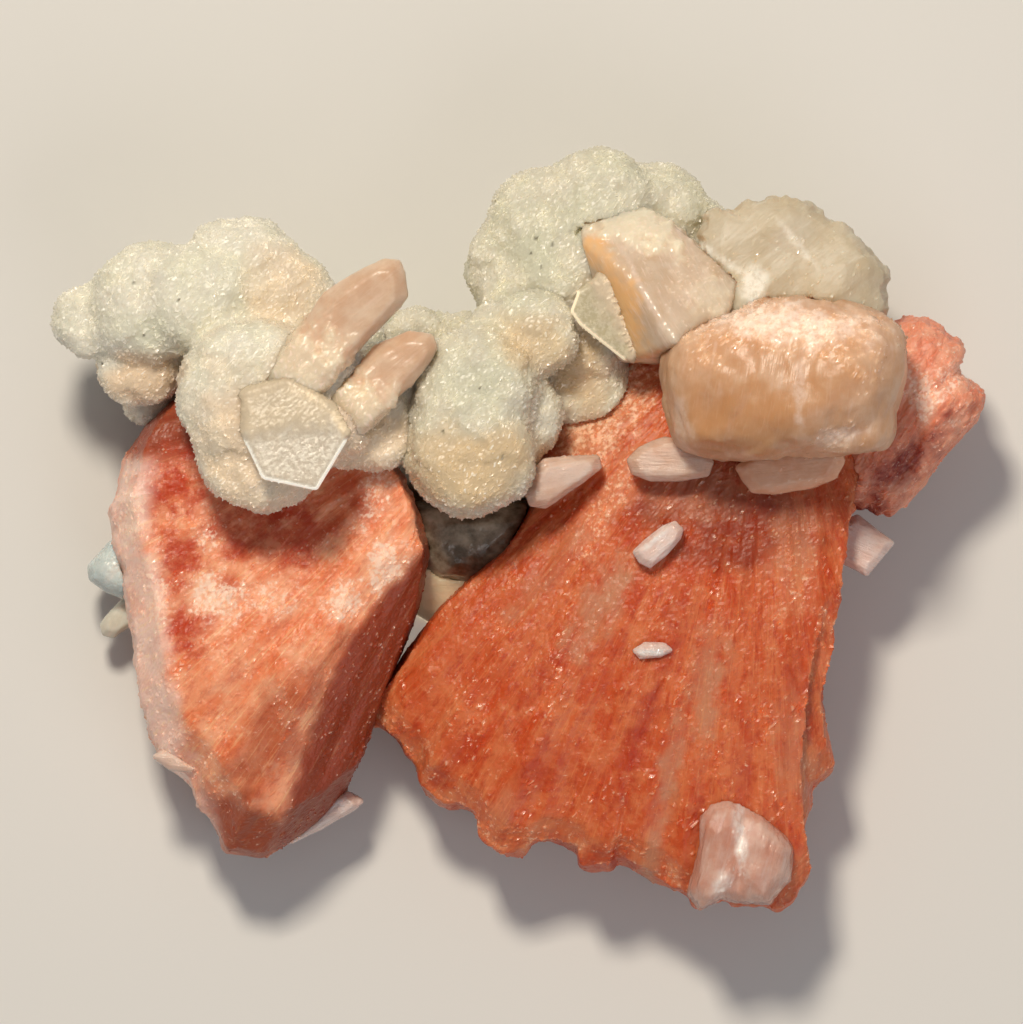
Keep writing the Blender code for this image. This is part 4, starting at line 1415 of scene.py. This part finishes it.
def blades() -> list[Blade]:
    """Lists the stilbite and the small crystals."""
    return [
        Blade(
            "loaf", "stilbite_loaf", PEACH, 80, voxel=0.33, soften=6, rounds=24, wave=0.3, thread=0.03,
            grow=0.3, ledge=0.22, tip=0.28, seed=300,
            amber=(Blotch(27, 14, 9, 5, 0, 0.75), Blotch(36, 18, 5, 4, 0, 0.4)),
            # The strip along the top (32, 24.6) and the spot on the lower step (38, 11.5) are painted
            # highlights where they face the light; the others are paler streaks.
            pale=(
                Blotch(33.4, 16.8, 0.8, 4.2, 0, 0.5), Blotch(32, 24.6, 11, 2.4, -5),
                Blotch(38, 11.5, 3.5, 1.2, 15, 0.6), Blotch(19.5, 14, 1.2, 3.5, 15, 0.5),
            ),
            glitter=(
                Blotch(32, 24, 13, 3.4, -5), Blotch(22, 22, 3, 3, 0, 0.6), Blotch(41, 20, 3, 4, 0, 0.4),
                Blotch(38, 11.5, 3.5, 1.5, 15, 0.8),
            ),
        ),
        Blade(
            "blade_top", "stilbite_blade_top", ORANGE, -60, voxel=0.29, soften=5, rounds=4, wave=0.2,
            thread=0.04, grow=0.2, seed=310, amber=(Blotch(11.9, 27.9, 2.6, 8.5, 24),),
            pale=(Blotch(21.8, 34.5, 0.7, 7.5, 55), Blotch(14.5, 29.5, 0.4, 7, 28, 0.6)),
            rooted=(Blotch(13.5, 36.5, 7, 2.6, -20, 1.6), Blotch(24, 27.5, 3.6, 3.6, 0, 0.5)),
            glitter=(Blotch(22, 28.5, 5, 4.5), Blotch(15, 33, 5, 4, 0, 0.3)),
        ),
        Blade(
            "fan_pale", "stilbite_fan_pale", CREAM, 35, voxel=0.33, soften=6, wave=0.06, ledge=0.16,
            thread=0.02, grow=0.2, facet=0.02, smooth=False, tooth=0.3, seed=320,
            pale=(
                Blotch(28.2, 29.7, 1.7, 2.1), Blotch(21.8, 34.5, 0.6, 7.5, 55),
                Blotch(33, 35, 0.5, 4, 38, 0.6),
            ),
            glitter=(Blotch(33, 30, 12, 9, 0, 0.12),),
        ),
        Blade(
            "sheaf_lower", "stilbite_sheaf_lower", ROSE_WHITE, 75, voxel=0.29, soften=2, wave=0.15,
            thread=0.2, seed=330,
            # These pale marks are painted glints: white streaks where the sheaf catches the light.
            pale=(Blotch(26.6, -37.0, 0.9, 4.5, 5, 0.9), Blotch(24.2, -42, 1.0, 2.4, -25, 0.6)),
            glitter=(Blotch(26.6, -37, 1.2, 5, 5, 0.9), Blotch(24.2, -42, 1.2, 2.6, -25, 0.8)),
        ),
        Blade(
            "blade_upper_left", "stilbite_blade_upper_left", ROSY, 38, wave=0.2, seed=340,
            rooted=(Blotch(-27, 18.5, 7, 6.5, 38, 1.6),),
        ),
        Blade(
            "blade_left", "stilbite_blade_left", ROSY, 40, wave=0.2, seed=345,
            rooted=(Blotch(-20.5, 13.8, 6, 5, 0, 1.6),),
        ),
        Blade(
            "tab_centre", "stilbite_tab_centre", WHITE, 8, voxel=0.2, seed=350,
            pale=(Blotch(8, 10, 2, 1, 20, 0.6),), glitter=(Blotch(7.5, 9, 3, 1.6, 20, 0.35),),
        ),
        Blade(
            "tongue", "stilbite_tongue", TONGUE, 5, voxel=0.25, seed=355,
            glitter=(Blotch(34, 6, 6, 3, 0, 0.2),),
        ),
        Blade("lip", "stilbite_lip", WHITE, 0, voxel=0.2, seed=360),
        Blade(
            "crystal_upper", "stilbite_crystal_upper", ICE, 38, voxel=0.15, wave=0.05, seed=365,
            # A painted glint along the crystal.
            pale=(Blotch(16.4, -0.9, 0.5, 1.9, -48),), glitter=(Blotch(16.4, -0.9, 0.8, 2.2, -48),),
        ),
        Blade(
            "crystal_lower", "stilbite_crystal_lower", ICE, 0, voxel=0.15, wave=0.05, seed=370,
            # A painted glint along the crystal.
            pale=(Blotch(15.8, -14.3, 1.8, 0.4),), glitter=(Blotch(15.8, -14.3, 1.8, 0.6),),
        ),
        Blade("blade_foot", "stilbite_blade_foot", ICE, 25, voxel=0.2, facet=0.03, seed=375),
        Blade("flake", "stilbite_flake", WHITE, -5, voxel=0.18, seed=380),
        Blade(
            "prism_right", "stilbite_prism_right", ICE, -25, voxel=0.2, seed=385,
            amber=(Blotch(39.5, -5, 2, 3, 0, 0.2),),
        ),
        Blade(
            "blue_grey", "blue_grey_crystal", BLUE_GREY, 60, voxel=0.25, crumb=0.15, facet=0.04,
            smooth=False, seed=390,
        ),
        Blade("beige_block", "beige_crystal", BEIGE, 0, voxel=0.25, seed=395),
        Blade("beige_blade", "beige_blade_left", PALE_BEIGE, 60, voxel=0.2, seed=400),
        Blade("white_sliver", "white_crystal", SLIVER, 60, voxel=0.2, seed=405),
        Blade("smoky", "smoky_crystal", SMOKY_AND_SHADED, 0, voxel=0.29, wave=0.3, seed=410),
        ClearPlate(
            "plate_left", "clear_plate_left", CLEAR, 30, voxel=0.2, soften=2, rounds=4, grow=0.1,
            wave=0.05, thread=0.0, seed=420,
            rooted=(Blotch(-31, 15.5, 5.5, 3.4, 25), Blotch(-25, 17, 5, 2.6, -20)),
            glitter=(Blotch(-28, 11, 6, 6, 0, 0.5),),
        ),
        ClearPlate(
            "plate_top", "clear_plate_top", CLEAR_WARM, 60, voxel=0.15, soften=2, rounds=4, grow=0.1,
            wave=0.03, thread=0.0, seed=425, glow_heading=215.0,
            glitter=(Blotch(9.5, 24.5, 3, 4, 0, 0.4),),
        ),
    ]


def main() -> None:
    """Builds the cluster's looks."""
    logging.basicConfig(level=logging.INFO, format="%(name)s: %(message)s")
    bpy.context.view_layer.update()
    for part in (*fans(), *druses(), *blades()):
        part.build()
    Studio().build()


if __name__ == "__main__":
    main()
